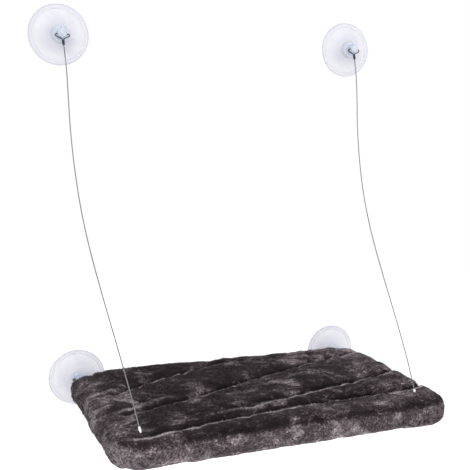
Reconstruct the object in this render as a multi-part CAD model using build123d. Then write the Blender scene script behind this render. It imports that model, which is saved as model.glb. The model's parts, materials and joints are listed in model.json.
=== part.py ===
from build123d import *
import math
import os

os.makedirs("parts", exist_ok=True)

# A padded perch that hangs on a window pane. The glass is the plane Y = 0, the origin lies on it midway
# between the two lower suction cups, +X runs along the sill, +Z up, and the bed reaches out along -Y.
# Every size is in millimetres.

# Overall layout
BED_WIDTH = 545.0
BED_DEPTH = 352.0
BED_THICKNESS = 45.0
GLASS_GAP = 38.0
LOWER_CUP_INSET = 22.5
UPPER_CUP_OFFSET = 16.0
CUP_RISE = 583.0
SIDES = (("left", -1), ("right", 1))

# Suction cup
CUP_DIAMETER = 98.0
CUP_LIP_WIDTH = 5.5
CUP_LIP_THICKNESS = 1.6
CUP_BEAD_WIDTH = 2.4
CUP_BEAD_HEIGHT = 0.9
CUP_CAVITY_DEPTH = 2.6
CUP_CAVITY_MID_SHARE = 0.82
CUP_DISH_HEIGHT = 13.0
CUP_DISH_MID_RADIUS_SHARE = 0.52
CUP_DISH_MID_HEIGHT_SHARE = 0.34
CUP_BOSS_DIAMETER = 29.0
CUP_BOSS_HEIGHT = 24.0
CUP_BOSS_ROUND = 3.0
CUP_FOOT_ROUND = 2.2
NECK_DIAMETER = 16.0
CROSS_HOLE_STANDOFF = 33.0

# Hinge between a lower cup and its rear corner fitting
PIN_DIAMETER = 5.0
PIN_RUNNING_CLEARANCE = 0.08
PIN_SEAT_CLEARANCE = 0.05
PIN_HEAD_DIAMETER = 8.0
PIN_HEAD_THICKNESS = 1.4
PIN_END_LENGTH = 1.0
CLIP_THICKNESS = 0.8
CLIP_DIAMETER = 8.4
CLIP_OPENING = 3.4
EAR_THICKNESS = 4.0
EAR_SIDE_GAP = 0.4
EAR_RADIUS = 7.5
KNUCKLE_END_GAP = 1.5

# Wire rope, its crimped ferrules and its loops
WIRE_DIAMETER = 1.8
CRIMP_DIAMETER = 4.2
CRIMP_LENGTH = 8.0
CRIMP_ROUND = 0.6
UPPER_LOOP_OVERHANG = 2.9
UPPER_LOOP_DROP = 3.6
UPPER_LOOP_BEND = 1.8
LOWER_LOOP_BEND = 1.8
LOOP_SEAT_GAP = 0.1
LOOP_REST_GAP = 0.7
LEG_RUN = 2.0
LEG_BEND = 1.8
FERRULE_LENGTH = 16.0
FERRULE_FOOT_DIAMETER = 6.0
FERRULE_TIP_DIAMETER = 3.6
FERRULE_FOOT_SHARE = 0.35
LEG_GAP = 0.3

# Ends of a suspension wire's free run: the top measured from the upper cup's cross hole, the foot from
# the eye of the front corner
WIRE_TOP_INWARD = 0.8
WIRE_TOP_OUTWARD = 7.0
WIRE_TOP_DROP = 19.0
WIRE_FOOT_INWARD = 3.1
WIRE_FOOT_BACK = 10.0
WIRE_FOOT_RISE = 24.0

# Centre line between those ends, each point as shares of the way inward, out from the glass and down.
# The rope hangs slack and sags toward the glass.
WIRE_ROUTE_SHARES = (
    (0.000, 0.0000, 0.0000),
    (0.034, 0.0385, 0.0578),
    (0.048, 0.0586, 0.1370),
    (0.063, 0.0737, 0.2167),
    (0.093, 0.1039, 0.2981),
    (0.140, 0.1508, 0.3796),
    (0.201, 0.2144, 0.4611),
    (0.286, 0.3015, 0.5407),
    (0.389, 0.4054, 0.6167),
    (0.500, 0.5193, 0.6889),
    (0.611, 0.6332, 0.7574),
    (0.722, 0.7437, 0.8241),
    (0.828, 0.8476, 0.8889),
    (0.926, 0.9363, 0.9481),
    (1.000, 1.0000, 1.0000),
)
WIRE_ARC_SHARE = 0.45

# Tube frame inside the bed
TUBE_DIAMETER = 16.0
TUBE_WALL = 1.2
TUBE_INSERTION = 25.0
SOCKET_CLEARANCE = 0.15
SOCKET_WALL = 2.85
SOCKET_LENGTH = 45.0
REAR_TUBE_INSET = 24.0
FRONT_TUBE_INSET = 22.0
ELBOW_BEND = 20.0
GUSSET_THICKNESS = 7.0
GUSSET_LEG = 40.0
EYE_INSET = 19.5
EYE_DIAMETER = 5.0
EYE_LAND = 3.0
BUTTON_DIAMETER = 5.0
BUTTON_CLEARANCE = 0.15
BUTTON_PROUD = 0.3
BUTTON_FLANGE_DIAMETER = 8.0
BUTTON_FLANGE_THICKNESS = 1.2

# Plush cover
FRONT_CORNER_RADIUS = 50.0
REAR_CORNER_RADIUS = 28.0
END_ROLL_TOP = 24.0
END_ROLL_BOTTOM = 14.0
END_FLAT_SHARE = 0.3
WAIST_DROP = 3.0
CREASE_DEPTH = 6.5
CROWN_HEIGHT = 3.0
FRONT_ROLL_RISE = 1.5
RIDGE_RISE = 1.5
UNDERCUT = 9.0
UNDERCUT_BELLY_SHARE = 0.2
ROLL_PEAK_SHARE = 0.5
REAR_SHOULDER_SHARE = 0.055
REAR_ROUND_SHARE = 0.29
SLEEVE_CLEARANCE = 0.4
NOTCH_SIDE_GAP = 2.0
NOTCH_BEHIND_GAP = 0.5
NOTCH_ROUND = 4.0
FERRULE_HOLE_CLEARANCE = 0.5

# Where the four creases cross the bed, as shares of its depth behind the rear edge: at the left end,
# in the middle and at the right end. The second table is how deep each one is there.
CREASE_PLACE_SHARES = (
    (0.455, 0.130, 0.085),
    (0.670, 0.415, 0.200),
    (0.815, 0.715, 0.530),
    (0.895, 0.825, 0.790),
)
CREASE_DEPTH_SHARES = (
    (0.85, 0.55, 0.25),
    (0.70, 1.00, 0.90),
    (0.20, 0.75, 1.00),
    (0.85, 1.00, 0.95),
)
STATION_SHARES = (1.0, 0.993, 0.975, 0.945, 0.91, 0.86, 0.80, 0.60, 0.40, 0.20)

# Foam pad and base panel
FOAM_TOP_COVER = 10.5
FOAM_EDGE_GAP = 0.5
FOAM_FRONT_CHAMFER = 36.0
FOAM_REAR_CHAMFER = 12.0
PANEL_THICKNESS = 1.5
PANEL_INSET = 16.0
PANEL_REAR_INSET = 23.0
PANEL_CORNER_RADIUS = 30.0
PANEL_EDGE_GAP = 0.2

# Zip across the underside near the rear edge
ZIP_LENGTH = 330.0
ZIP_INSET = 26.0
ZIP_TAPE_WIDTH = 24.0
ZIP_TAPE_THICKNESS = 0.8
ZIP_CHAIN_WIDTH = 6.0
ZIP_CHAIN_THICKNESS = 1.6
ZIP_CHAIN_CHAMFER = 0.5
ZIP_SLIT_WIDTH = 3.0
ZIP_STOP_LENGTH = 3.0
ZIP_STOP_PROUD = 1.0
SLIDER_LENGTH = 13.0
SLIDER_WIDTH = 9.6
SLIDER_ROOF = 1.4
SLIDER_CLEARANCE = 0.3
SLIDER_ROUND = 1.5
BAIL_LENGTH = 6.0
BAIL_WIDTH = 2.4
BAIL_HEIGHT = 3.2
BAIL_ROUND = 1.0
PULL_PIN_DIAMETER = 1.6
PULL_THICKNESS = 1.2
PULL_ARM_WIDTH = 1.3
PULL_ARM_LENGTH = 6.5
PULL_LENGTH = 24.0
PULL_TAB_ROUND = 2.2
PULL_HOLE_DIAMETER = 2.6

CUT_OVERRUN = 5.0

# Places worked out from the sizes
bed_rear = -GLASS_GAP
bed_front = bed_rear - BED_DEPTH
bed_half_width = BED_WIDTH / 2
bed_bottom = -BED_THICKNESS / 2
bed_top = BED_THICKNESS / 2
lower_cup_x = bed_half_width - LOWER_CUP_INSET
upper_cup_x = lower_cup_x + UPPER_CUP_OFFSET
neck_radius = NECK_DIAMETER / 2
pin_y = -CROSS_HOLE_STANDOFF
side_tube_x = lower_cup_x
rear_tube_y = bed_rear - REAR_TUBE_INSET
front_tube_y = bed_front + FRONT_TUBE_INSET
socket_bore_radius = TUBE_DIAMETER / 2 + SOCKET_CLEARANCE
socket_radius = socket_bore_radius + SOCKET_WALL
sleeve_radius = socket_radius + SLEEVE_CLEARANCE
tube_setback = SOCKET_LENGTH - TUBE_INSERTION
button_setback = SOCKET_LENGTH - TUBE_INSERTION / 2
clevis_half_width = neck_radius + EAR_SIDE_GAP + EAR_THICKNESS
clevis_web_y = pin_y - neck_radius - KNUCKLE_END_GAP
eye_x = side_tube_x - EYE_INSET
eye_y = front_tube_y + EYE_INSET
wire_top = (upper_cup_x - WIRE_TOP_INWARD, pin_y - WIRE_TOP_OUTWARD, CUP_RISE - WIRE_TOP_DROP)
wire_foot = (eye_x - WIRE_FOOT_INWARD, eye_y + WIRE_FOOT_BACK, WIRE_FOOT_RISE)
wire_route = [
    tuple(top + share * (foot - top) for top, foot, share in zip(wire_top, wire_foot, shares))
    for shares in WIRE_ROUTE_SHARES
]
foam_top = bed_top - FOAM_TOP_COVER
panel_top = bed_bottom + PANEL_THICKNESS
zip_y = bed_rear - PANEL_REAR_INSET - ZIP_INSET
slider_x = -(ZIP_LENGTH / 2 - ZIP_STOP_LENGTH - SLIDER_LENGTH / 2 - SLIDER_CLEARANCE)
slider_z = bed_bottom - ZIP_TAPE_THICKNESS - SLIDER_CLEARANCE
pull_z = slider_z - ZIP_CHAIN_THICKNESS - SLIDER_ROOF - BAIL_HEIGHT / 2


def save(shape, name):
    """Write one node."""
    export_step(shape, f"parts/{name}.step")


def mirrored(shape, sign):
    """A piece drawn on the right side, put on the side that sign names."""
    return shape if sign > 0 else mirror(shape, about=Plane.YZ)


def rod_along(axis_plane, radius, length):
    """A round bar that starts at the plane's origin and runs along its normal."""
    return extrude(axis_plane * Circle(radius), length)


# Suction cups

def suction_cup():
    """Moulded cup with its lip on the glass, bell-shaped dish, boss and cross-bored neck."""
    rim = CUP_DIAMETER / 2
    lip_inner = rim - CUP_LIP_WIDTH
    lip_round = CUP_LIP_THICKNESS / 2
    bead_inner = lip_inner - CUP_BEAD_WIDTH
    bead_peak = (lip_inner + bead_inner) / 2
    boss = CUP_BOSS_DIAMETER / 2
    foot = boss + CUP_FOOT_ROUND
    boss_side = CUP_DISH_HEIGHT + CUP_FOOT_ROUND
    shoulder = CUP_BOSS_HEIGHT - CUP_BOSS_ROUND
    knuckle_end = CROSS_HOLE_STANDOFF + neck_radius
    quarter = math.sqrt(0.5)
    dish_mid = foot + (bead_inner - foot) * CUP_DISH_MID_RADIUS_SHARE
    dish_mid_height = CUP_LIP_THICKNESS + (CUP_DISH_HEIGHT - CUP_LIP_THICKNESS) * CUP_DISH_MID_HEIGHT_SHARE
    profile = make_face(
        [
            Line((lip_inner, 0), (rim - lip_round, 0)),
            ThreePointArc(
                (rim - lip_round, 0), (rim, -lip_round), (rim - lip_round, -CUP_LIP_THICKNESS)
            ),
            Line((rim - lip_round, -CUP_LIP_THICKNESS), (lip_inner, -CUP_LIP_THICKNESS)),
            ThreePointArc(
                (lip_inner, -CUP_LIP_THICKNESS),
                (bead_peak, -CUP_LIP_THICKNESS - CUP_BEAD_HEIGHT),
                (bead_inner, -CUP_LIP_THICKNESS),
            ),
            ThreePointArc(
                (bead_inner, -CUP_LIP_THICKNESS),
                (dish_mid, -dish_mid_height),
                (foot, -CUP_DISH_HEIGHT),
            ),
            ThreePointArc(
                (foot, -CUP_DISH_HEIGHT),
                (foot - CUP_FOOT_ROUND * quarter, -boss_side + CUP_FOOT_ROUND * quarter),
                (boss, -boss_side),
            ),
            Line((boss, -boss_side), (boss, -shoulder)),
            ThreePointArc(
                (boss, -shoulder),
                (boss - CUP_BOSS_ROUND * (1 - quarter), -shoulder - CUP_BOSS_ROUND * quarter),
                (boss - CUP_BOSS_ROUND, -CUP_BOSS_HEIGHT),
            ),
            Line((boss - CUP_BOSS_ROUND, -CUP_BOSS_HEIGHT), (neck_radius, -CUP_BOSS_HEIGHT)),
            Line((neck_radius, -CUP_BOSS_HEIGHT), (neck_radius, -CROSS_HOLE_STANDOFF)),
            ThreePointArc(
                (neck_radius, -CROSS_HOLE_STANDOFF),
                (neck_radius * quarter, -CROSS_HOLE_STANDOFF - neck_radius * quarter),
                (0, -knuckle_end),
            ),
            Line((0, -knuckle_end), (0, -CUP_CAVITY_DEPTH)),
            ThreePointArc(
                (0, -CUP_CAVITY_DEPTH),
                (lip_inner / 2, -CUP_CAVITY_DEPTH * CUP_CAVITY_MID_SHARE),
                (lip_inner, 0),
            ),
        ]
    )
    body = revolve(profile, Axis.Y)
    hole_plane = Plane(origin=(-CUP_DIAMETER / 2, pin_y, 0), z_dir=(1, 0, 0))
    return body - rod_along(hole_plane, PIN_DIAMETER / 2 + PIN_RUNNING_CLEARANCE, CUP_DIAMETER)


cup = suction_cup()
for side, sign in SIDES:
    save(Pos(sign * lower_cup_x, 0, 0) * cup, f"cup_lower_{side}")
    save(Pos(sign * upper_cup_x, 0, CUP_RISE) * cup, f"cup_upper_{side}")


# Suspension wires

def route_radii(points):
    """Largest bend that each inner point of a route leaves room for."""
    radii = []
    for before, here, after in zip(points, points[1:], points[2:]):
        run_in = Vector(*here) - Vector(*before)
        run_out = Vector(*after) - Vector(*here)
        turn = math.radians(run_in.get_angle(run_out))
        radii.append(WIRE_ARC_SHARE * min(run_in.length, run_out.length) / math.tan(turn / 2))
    return radii


def suspension_wire():
    """The free rope of the right side between its two ferrules."""
    radii = route_radii(wire_route)
    path = FilletPolyline(*wire_route, radius=radii)
    start = Plane(origin=path @ 0, z_dir=path % 0)
    rope = sweep(start * Circle(WIRE_DIAMETER / 2), path=path)
    section = math.pi * WIRE_DIAMETER**2 / 4
    print("wire length", round(path.length, 1), "radii", [round(r) for r in radii])
    print("wire volume over section times length", round(rope.volume / (section * path.length), 5))
    return rope


def wire_loop(points, bends):
    """A loop of the rope through a list of points, open where its ferrule takes both ends."""
    path = FilletPolyline(*points, radius=bends)
    start = Plane(origin=path @ 0, z_dir=path % 0)
    return sweep(start * Circle(WIRE_DIAMETER / 2), path=path)


def upper_end():
    """Loop through the upper cup's cross hole and the crimp that closes it, on the right side."""
    hole = Vector(upper_cup_x, pin_y, CUP_RISE)
    end = Vector(*wire_route[0])
    down = (Vector(*wire_route[1]) - end).normalized()
    crimp_start = end - down * CRIMP_LENGTH
    hang = (crimp_start - hole).normalized()
    bar = Vector(1, 0, 0)
    seat = PIN_DIAMETER / 2 + PIN_RUNNING_CLEARANCE - WIRE_DIAMETER / 2 - LOOP_SEAT_GAP
    half_bar = neck_radius + UPPER_LOOP_OVERHANG
    side_step = (bar - down * bar.dot(down)).normalized() * ((WIRE_DIAMETER + LEG_GAP) / 2)
    leg_run = down * LEG_RUN
    drop = hang * (seat + UPPER_LOOP_DROP)
    loop = wire_loop(
        [
            crimp_start - side_step,
            crimp_start - side_step - leg_run,
            hole - bar * half_bar + drop,
            hole - bar * half_bar + hang * seat,
            hole + bar * half_bar + hang * seat,
            hole + bar * half_bar + drop,
            crimp_start + side_step - leg_run,
            crimp_start + side_step,
        ],
        [LEG_BEND, UPPER_LOOP_BEND, UPPER_LOOP_BEND, UPPER_LOOP_BEND, UPPER_LOOP_BEND, LEG_BEND],
    )
    crimp = extrude(Plane(origin=crimp_start, z_dir=down) * Circle(CRIMP_DIAMETER / 2), CRIMP_LENGTH)
    crimp = fillet(crimp.edges().filter_by(GeomType.CIRCLE), CRIMP_ROUND)
    return loop, crimp


def ferrule_axis():
    """Tip and foot of the lower ferrule, in line with the last run of the rope, on the right side."""
    tip = Vector(*wire_route[-1])
    down = (tip - Vector(*wire_route[-2])).normalized()
    return tip, tip + down * FERRULE_LENGTH, down


def lower_end():
    """Loop through the front corner's eye and the tapered ferrule above it, on the right side."""
    tip, foot, down = ferrule_axis()
    inward = Vector(-1, 1, 0).normalized()
    eye = Vector(eye_x, eye_y, 0)
    lift = Vector(0, 0, GUSSET_THICKNESS / 2 + WIRE_DIAMETER / 2)
    under = lift + Vector(0, 0, LOOP_REST_GAP)
    near_leg = eye + inward * (EYE_DIAMETER / 2 - WIRE_DIAMETER / 2 - LOOP_SEAT_GAP)
    far_leg = eye + inward * (EYE_DIAMETER / 2 + EYE_LAND + WIRE_DIAMETER / 2 + LOOP_SEAT_GAP)
    side_step = (inward - down * inward.dot(down)).normalized() * ((WIRE_DIAMETER + LEG_GAP) / 2)
    leg_run = down * LEG_RUN
    loop = wire_loop(
        [
            foot - side_step,
            foot - side_step + leg_run,
            near_leg + lift,
            near_leg - under,
            far_leg - under,
            far_leg + lift,
            foot + side_step + leg_run,
            foot + side_step,
        ],
        [LEG_BEND, LEG_BEND, LOWER_LOOP_BEND, LOWER_LOOP_BEND, LEG_BEND, LEG_BEND],
    )
    foot_radius = FERRULE_FOOT_DIAMETER / 2
    tip_radius = FERRULE_TIP_DIAMETER / 2
    outline = make_face(
        Polyline(
            (0, 0),
            (foot_radius, 0),
            (foot_radius, FERRULE_LENGTH * FERRULE_FOOT_SHARE),
            (tip_radius, FERRULE_LENGTH),
            (0, FERRULE_LENGTH),
            close=True,
        )
    )
    ferrule = Plane(origin=foot, z_dir=-down) * revolve(Plane.XZ * outline, Axis.Z)
    return loop, ferrule


wire = suspension_wire()
upper_loop, upper_crimp = upper_end()
lower_loop, lower_ferrule = lower_end()
for side, sign in SIDES:
    save(mirrored(wire, sign), f"wire_{side}")
    save(mirrored(upper_loop, sign), f"upper_loop_{side}")
    save(mirrored(upper_crimp, sign), f"upper_ferrule_{side}")
    save(mirrored(lower_loop, sign), f"lower_loop_{side}")
    save(mirrored(lower_ferrule, sign), f"lower_ferrule_{side}")


# Tube frame

def tube(start, end):
    """A round steel tube between two points."""
    run = Vector(*end) - Vector(*start)
    plane = Plane(origin=start, z_dir=run)
    section = Circle(TUBE_DIAMETER / 2) - Circle(TUBE_DIAMETER / 2 - TUBE_WALL)
    return extrude(plane * section, run.length)


def elbow(corner_y, heading):
    """Solid right-side elbow: one arm along Y (heading +1 or -1) and one toward the middle of the bed."""
    return FilletPolyline(
        (side_tube_x, corner_y + heading * SOCKET_LENGTH, 0),
        (side_tube_x, corner_y, 0),
        (side_tube_x - SOCKET_LENGTH, corner_y, 0),
        radius=ELBOW_BEND,
    )


def socketed(path):
    """Round body along an elbow's path."""
    start = Plane(origin=path @ 0, z_dir=path % 0)
    return sweep(start * Circle(socket_radius), path=path)


def socket_bores(corner_y, heading):
    """Blind bores for the side tube and the cross tube of one corner, with their button holes."""
    side_mouth = Plane(origin=(side_tube_x, corner_y + heading * SOCKET_LENGTH, 0), z_dir=(0, -heading, 0))
    cross_mouth = Plane(origin=(side_tube_x - SOCKET_LENGTH, corner_y, 0), z_dir=(1, 0, 0))
    return [rod_along(mouth, socket_bore_radius, TUBE_INSERTION) for mouth in (side_mouth, cross_mouth)]


def button_places():
    """Centres of the eight spring buttons, at the middle of each tube's insertion."""
    places = []
    for sign in (-1, 1):
        for corner_y, heading in ((rear_tube_y, -1), (front_tube_y, 1)):
            places.append((sign * side_tube_x, corner_y + heading * button_setback))
            places.append((sign * (side_tube_x - button_setback), corner_y))
    return places


def button_holes():
    """Cutter for the spring buttons' holes, through the lower wall only."""
    radius = BUTTON_DIAMETER / 2 + BUTTON_CLEARANCE
    depth = socket_radius + CUT_OVERRUN
    return [rod_along(Plane(origin=(x, y, 0), z_dir=(0, 0, -1)), radius, depth) for x, y in button_places()]


def spring_button():
    """Domed locking button with the flange that keeps it inside the tube, pointing down from z = 0."""
    inner = TUBE_DIAMETER / 2 - TUBE_WALL - BUTTON_CLEARANCE
    flange_reach = math.sqrt(inner**2 - (BUTTON_FLANGE_DIAMETER / 2) ** 2)
    top = flange_reach - BUTTON_FLANGE_THICKNESS
    tip = socket_radius + BUTTON_PROUD
    radius = BUTTON_DIAMETER / 2
    flange = BUTTON_FLANGE_DIAMETER / 2
    quarter = math.sqrt(0.5)
    outline = make_face(
        [
            Line((0, -top), (flange, -top)),
            Line((flange, -top), (flange, -flange_reach)),
            Line((flange, -flange_reach), (radius, -flange_reach)),
            Line((radius, -flange_reach), (radius, -tip + radius)),
            ThreePointArc(
                (radius, -tip + radius),
                (radius * quarter, -tip + radius - radius * quarter),
                (0, -tip),
            ),
            Line((0, -tip), (0, -top)),
        ]
    )
    return revolve(Plane.XZ * outline, Axis.Z)


def front_corner():
    """Moulded front corner: two sockets, a gusset between them and the eye that takes the wire's loop."""
    body = socketed(elbow(front_tube_y, 1))
    half_web = GUSSET_THICKNESS / 2
    web = make_face(
        Polyline(
            (side_tube_x, front_tube_y + GUSSET_LEG),
            (side_tube_x - GUSSET_LEG, front_tube_y),
            (side_tube_x - ELBOW_BEND, front_tube_y),
            (side_tube_x, front_tube_y + ELBOW_BEND),
            close=True,
        )
    )
    lug = Pos(eye_x, eye_y) * Circle(EYE_DIAMETER / 2 + EYE_LAND)
    web = extrude(web + lug, half_web, both=True)
    eye = extrude(Pos(eye_x, eye_y) * Circle(EYE_DIAMETER / 2), GUSSET_THICKNESS, both=True)
    return body + web - eye - socket_bores(front_tube_y, 1)


def rear_corner():
    """Moulded rear corner: two sockets and the clevis that straddles the lower cup's neck."""
    body = socketed(elbow(rear_tube_y, -1))
    root_y = rear_tube_y - ELBOW_BEND
    tongue = make_face(
        Polyline(
            (root_y, -EAR_RADIUS),
            (pin_y, -EAR_RADIUS),
            (pin_y, EAR_RADIUS),
            (root_y, EAR_RADIUS),
            close=True,
        )
    )
    tongue = tongue + Pos(pin_y, 0) * Circle(EAR_RADIUS)
    root_half_width = socket_radius - SOCKET_WALL
    plan = make_face(
        Polyline(
            (-clevis_half_width, pin_y + EAR_RADIUS),
            (-clevis_half_width, rear_tube_y + EAR_RADIUS),
            (-root_half_width, root_y),
            (root_half_width, root_y),
            (clevis_half_width, rear_tube_y + EAR_RADIUS),
            (clevis_half_width, pin_y + EAR_RADIUS),
            close=True,
        )
    )
    clevis = extrude(Plane.YZ * tongue, clevis_half_width, both=True) & extrude(plan, EAR_RADIUS, both=True)
    slot_length = pin_y + EAR_RADIUS + CUT_OVERRUN - clevis_web_y
    slot = Box(
        (neck_radius + EAR_SIDE_GAP) * 2,
        slot_length,
        (EAR_RADIUS + CUT_OVERRUN) * 2,
        align=(Align.CENTER, Align.MIN, Align.CENTER),
    )
    pin_plane = Plane(origin=(-BED_WIDTH, pin_y, 0), z_dir=(1, 0, 0))
    bore = rod_along(pin_plane, PIN_DIAMETER / 2 + PIN_SEAT_CLEARANCE, BED_WIDTH * 2)
    fork = Pos(side_tube_x, 0, 0) * (clevis - Pos(0, clevis_web_y, 0) * slot - bore)
    return body + fork - socket_bores(rear_tube_y, -1)


def hinge_pin():
    """Headed pin through the ears and the neck, head outward, centred on the right cup."""
    groove_start = clevis_half_width
    shank = PIN_DIAMETER / 2
    outline = make_face(
        Polyline(
            (0, clevis_half_width + PIN_HEAD_THICKNESS),
            (PIN_HEAD_DIAMETER / 2, clevis_half_width + PIN_HEAD_THICKNESS),
            (PIN_HEAD_DIAMETER / 2, clevis_half_width),
            (shank, clevis_half_width),
            (shank, -groove_start),
            (CLIP_OPENING / 2, -groove_start),
            (CLIP_OPENING / 2, -groove_start - CLIP_THICKNESS),
            (shank, -groove_start - CLIP_THICKNESS),
            (shank, -groove_start - CLIP_THICKNESS - PIN_END_LENGTH),
            (0, -groove_start - CLIP_THICKNESS - PIN_END_LENGTH),
            close=True,
        )
    )
    along_x = Plane(origin=(side_tube_x, pin_y, 0), x_dir=(0, 0, 1), z_dir=(0, 1, 0))
    return along_x * revolve(outline, Axis.Y)


def retaining_clip():
    """Open spring ring in the pin's groove."""
    ring = Circle(CLIP_DIAMETER / 2) - Circle(CLIP_OPENING / 2)
    mouth = Pos(0, -CLIP_DIAMETER / 2) * Rectangle(CLIP_OPENING, CLIP_DIAMETER)
    plane = Plane(origin=(side_tube_x - clevis_half_width, pin_y, 0), x_dir=(0, 1, 0), z_dir=(-1, 0, 0))
    return extrude(plane * (ring - mouth), CLIP_THICKNESS)


holes = button_holes()
front = front_corner()
rear = rear_corner()
pin = hinge_pin()
clip = retaining_clip()
for side, sign in SIDES:
    save(mirrored(front, sign) - holes, f"front_corner_{side}")
    save(mirrored(rear, sign) - holes, f"rear_corner_{side}")
    save(mirrored(pin, sign), f"hinge_pin_{side}")
    side_tube = tube(
        (sign * side_tube_x, front_tube_y + tube_setback, 0),
        (sign * side_tube_x, rear_tube_y - tube_setback, 0),
    )
    save(side_tube - holes, f"{side}_tube")
cross_tube_reach = side_tube_x - tube_setback
for name, tube_y in (("front_tube", front_tube_y), ("rear_tube", rear_tube_y)):
    cross_tube = tube((-cross_tube_reach, tube_y, 0), (cross_tube_reach, tube_y, 0))
    save(cross_tube - holes, name)
save(Compound(children=[mirrored(clip, sign) for side, sign in SIDES]), "retaining_clips")
save(Compound(children=[Pos(x, y, 0) * spring_button() for x, y in button_places()]), "spring_buttons")


# Plush cover

def across_bed(shares, station):
    """A value along the bed's width from its shares at the left end, the middle and the right end."""
    left, middle, right = shares
    return (
        left * station * (station - 1) / 2
        + middle * (1 - station**2)
        + right * station * (station + 1) / 2
    )


def corner_setback(radius, x):
    """How far a rounded plan corner draws the edge in at a place along the width."""
    past = max(0, abs(x) - (bed_half_width - radius))
    return radius - math.sqrt(radius**2 - past**2)


def end_fullness(roll, x):
    """Share of the full height that is left near the bed's rounded ends."""
    inside = min(1, (bed_half_width - abs(x)) / roll)
    return END_FLAT_SHARE + (1 - END_FLAT_SHARE) * math.sqrt(1 - (1 - inside) ** 2)


def cover_section(station):
    """Outline of the cover across the bed: belly, front roll, four creases with ridges and rear roll."""
    x = station * bed_half_width
    front = bed_front + corner_setback(FRONT_CORNER_RADIUS, x)
    rear = bed_rear - corner_setback(REAR_CORNER_RADIUS, x)
    depth = rear - front
    upper = end_fullness(END_ROLL_TOP, x)
    lower = end_fullness(END_ROLL_BOTTOM, x)
    waist = -WAIST_DROP

    def at(y, z):
        fullness = upper if z > waist else lower
        return Vector(x, y, waist + (z - waist) * fullness)

    def crowned(y):
        from_middle = 2 * (rear - y) / depth - 1
        return bed_top - RIDGE_RISE - CROWN_HEIGHT * from_middle**2

    def crease(place_shares, depth_shares):
        y = rear - across_bed(place_shares, station) * depth
        return y, crowned(y) - CREASE_DEPTH * across_bed(depth_shares, station)

    creases = [crease(*pair) for pair in zip(CREASE_PLACE_SHARES, CREASE_DEPTH_SHARES)]
    rear_roll = depth * REAR_SHOULDER_SHARE
    shoulder = (rear - rear_roll, crowned(rear - rear_roll))
    stops = [shoulder] + creases
    front_waist = at(front, waist)
    rear_waist = at(rear, waist)
    front_foot = at(front + UNDERCUT, bed_bottom)
    rear_foot = at(rear - UNDERCUT, bed_bottom)
    belly = UNDERCUT * UNDERCUT_BELLY_SHARE
    half_drop = (bed_bottom + waist) / 2
    last_crease_y = creases[-1][0]
    peak_y = front + (last_crease_y - front) * ROLL_PEAK_SHARE
    edges = [
        Line(rear_foot, front_foot),
        ThreePointArc(front_foot, at(front + belly, half_drop), front_waist),
        ThreePointArc(front_waist, at(peak_y, crowned(peak_y) + FRONT_ROLL_RISE), at(*creases[-1])),
    ]
    for nearer, further in zip(reversed(stops), reversed(stops[:-1])):
        ridge_y = (nearer[0] + further[0]) / 2
        edges.append(ThreePointArc(at(*nearer), at(ridge_y, crowned(ridge_y) + RIDGE_RISE), at(*further)))
    edges.append(
        ThreePointArc(
            at(*shoulder),
            at(
                rear - rear_roll * REAR_ROUND_SHARE,
                shoulder[1] - (shoulder[1] - waist) * REAR_ROUND_SHARE,
            ),
            rear_waist,
        )
    )
    edges.append(ThreePointArc(rear_waist, at(rear - belly, half_drop), rear_foot))
    return make_face(Wire(edges))


def cover_form():
    """Full outer form of the padded bed, lofted from end to end."""
    stations = [-share for share in STATION_SHARES] + [0] + [share for share in reversed(STATION_SHARES)]
    return loft([cover_section(station) for station in stations], ruled=True)


def bed_plan(inset, rear_inset, corner):
    """Rounded rectangle drawn inside the bed's outline."""
    width = BED_WIDTH - 2 * inset
    depth = BED_DEPTH - inset - rear_inset
    middle_y = (bed_front + inset + bed_rear - rear_inset) / 2
    return Pos(0, middle_y) * RectangleRounded(width, depth, corner)


def frame_sleeve():
    """Room that the frame takes inside the padding: a round sleeve along its four sides."""
    path = FilletPolyline(
        (side_tube_x, front_tube_y, 0),
        (side_tube_x, rear_tube_y, 0),
        (-side_tube_x, rear_tube_y, 0),
        (-side_tube_x, front_tube_y, 0),
        radius=ELBOW_BEND,
        close=True,
    )
    start = Plane(origin=path @ 0, z_dir=path % 0)
    return sweep(start * Circle(sleeve_radius), path=path)


def fitting_notches():
    """Slots in the rear corners of the cover, where the fork and the cup's neck meet in the open."""
    width = 2 * (clevis_half_width + NOTCH_SIDE_GAP)
    back_y = clevis_web_y - NOTCH_BEHIND_GAP - socket_radius
    length = bed_rear + CUT_OVERRUN - back_y
    slot = Box(width, length, BED_THICKNESS * 2, align=(Align.CENTER, Align.MIN, Align.CENTER))
    slot = fillet(slot.edges().filter_by(Axis.Z).group_by(Axis.Y)[0], NOTCH_ROUND)
    root = Box(
        2 * (clevis_half_width + SLEEVE_CLEARANCE),
        bed_rear - rear_tube_y + ELBOW_BEND + SLEEVE_CLEARANCE,
        2 * (EAR_RADIUS + SLEEVE_CLEARANCE),
        align=(Align.CENTER, Align.MIN, Align.CENTER),
    )
    notch = Pos(0, back_y, 0) * slot + Pos(0, rear_tube_y - ELBOW_BEND - SLEEVE_CLEARANCE, 0) * root
    return [Pos(sign * side_tube_x, 0, 0) * notch for side, sign in SIDES]


def ferrule_channels():
    """Holes in the cover's top that the lower ferrules stand in."""
    tip, foot, down = ferrule_axis()
    radius = FERRULE_FOOT_DIAMETER / 2 + FERRULE_HOLE_CLEARANCE
    reach = 2 * FERRULE_LENGTH
    channel = rod_along(Plane(origin=tip - down * FERRULE_LENGTH, z_dir=down), radius, reach)
    return [mirrored(channel, sign) for side, sign in SIDES]


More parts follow.
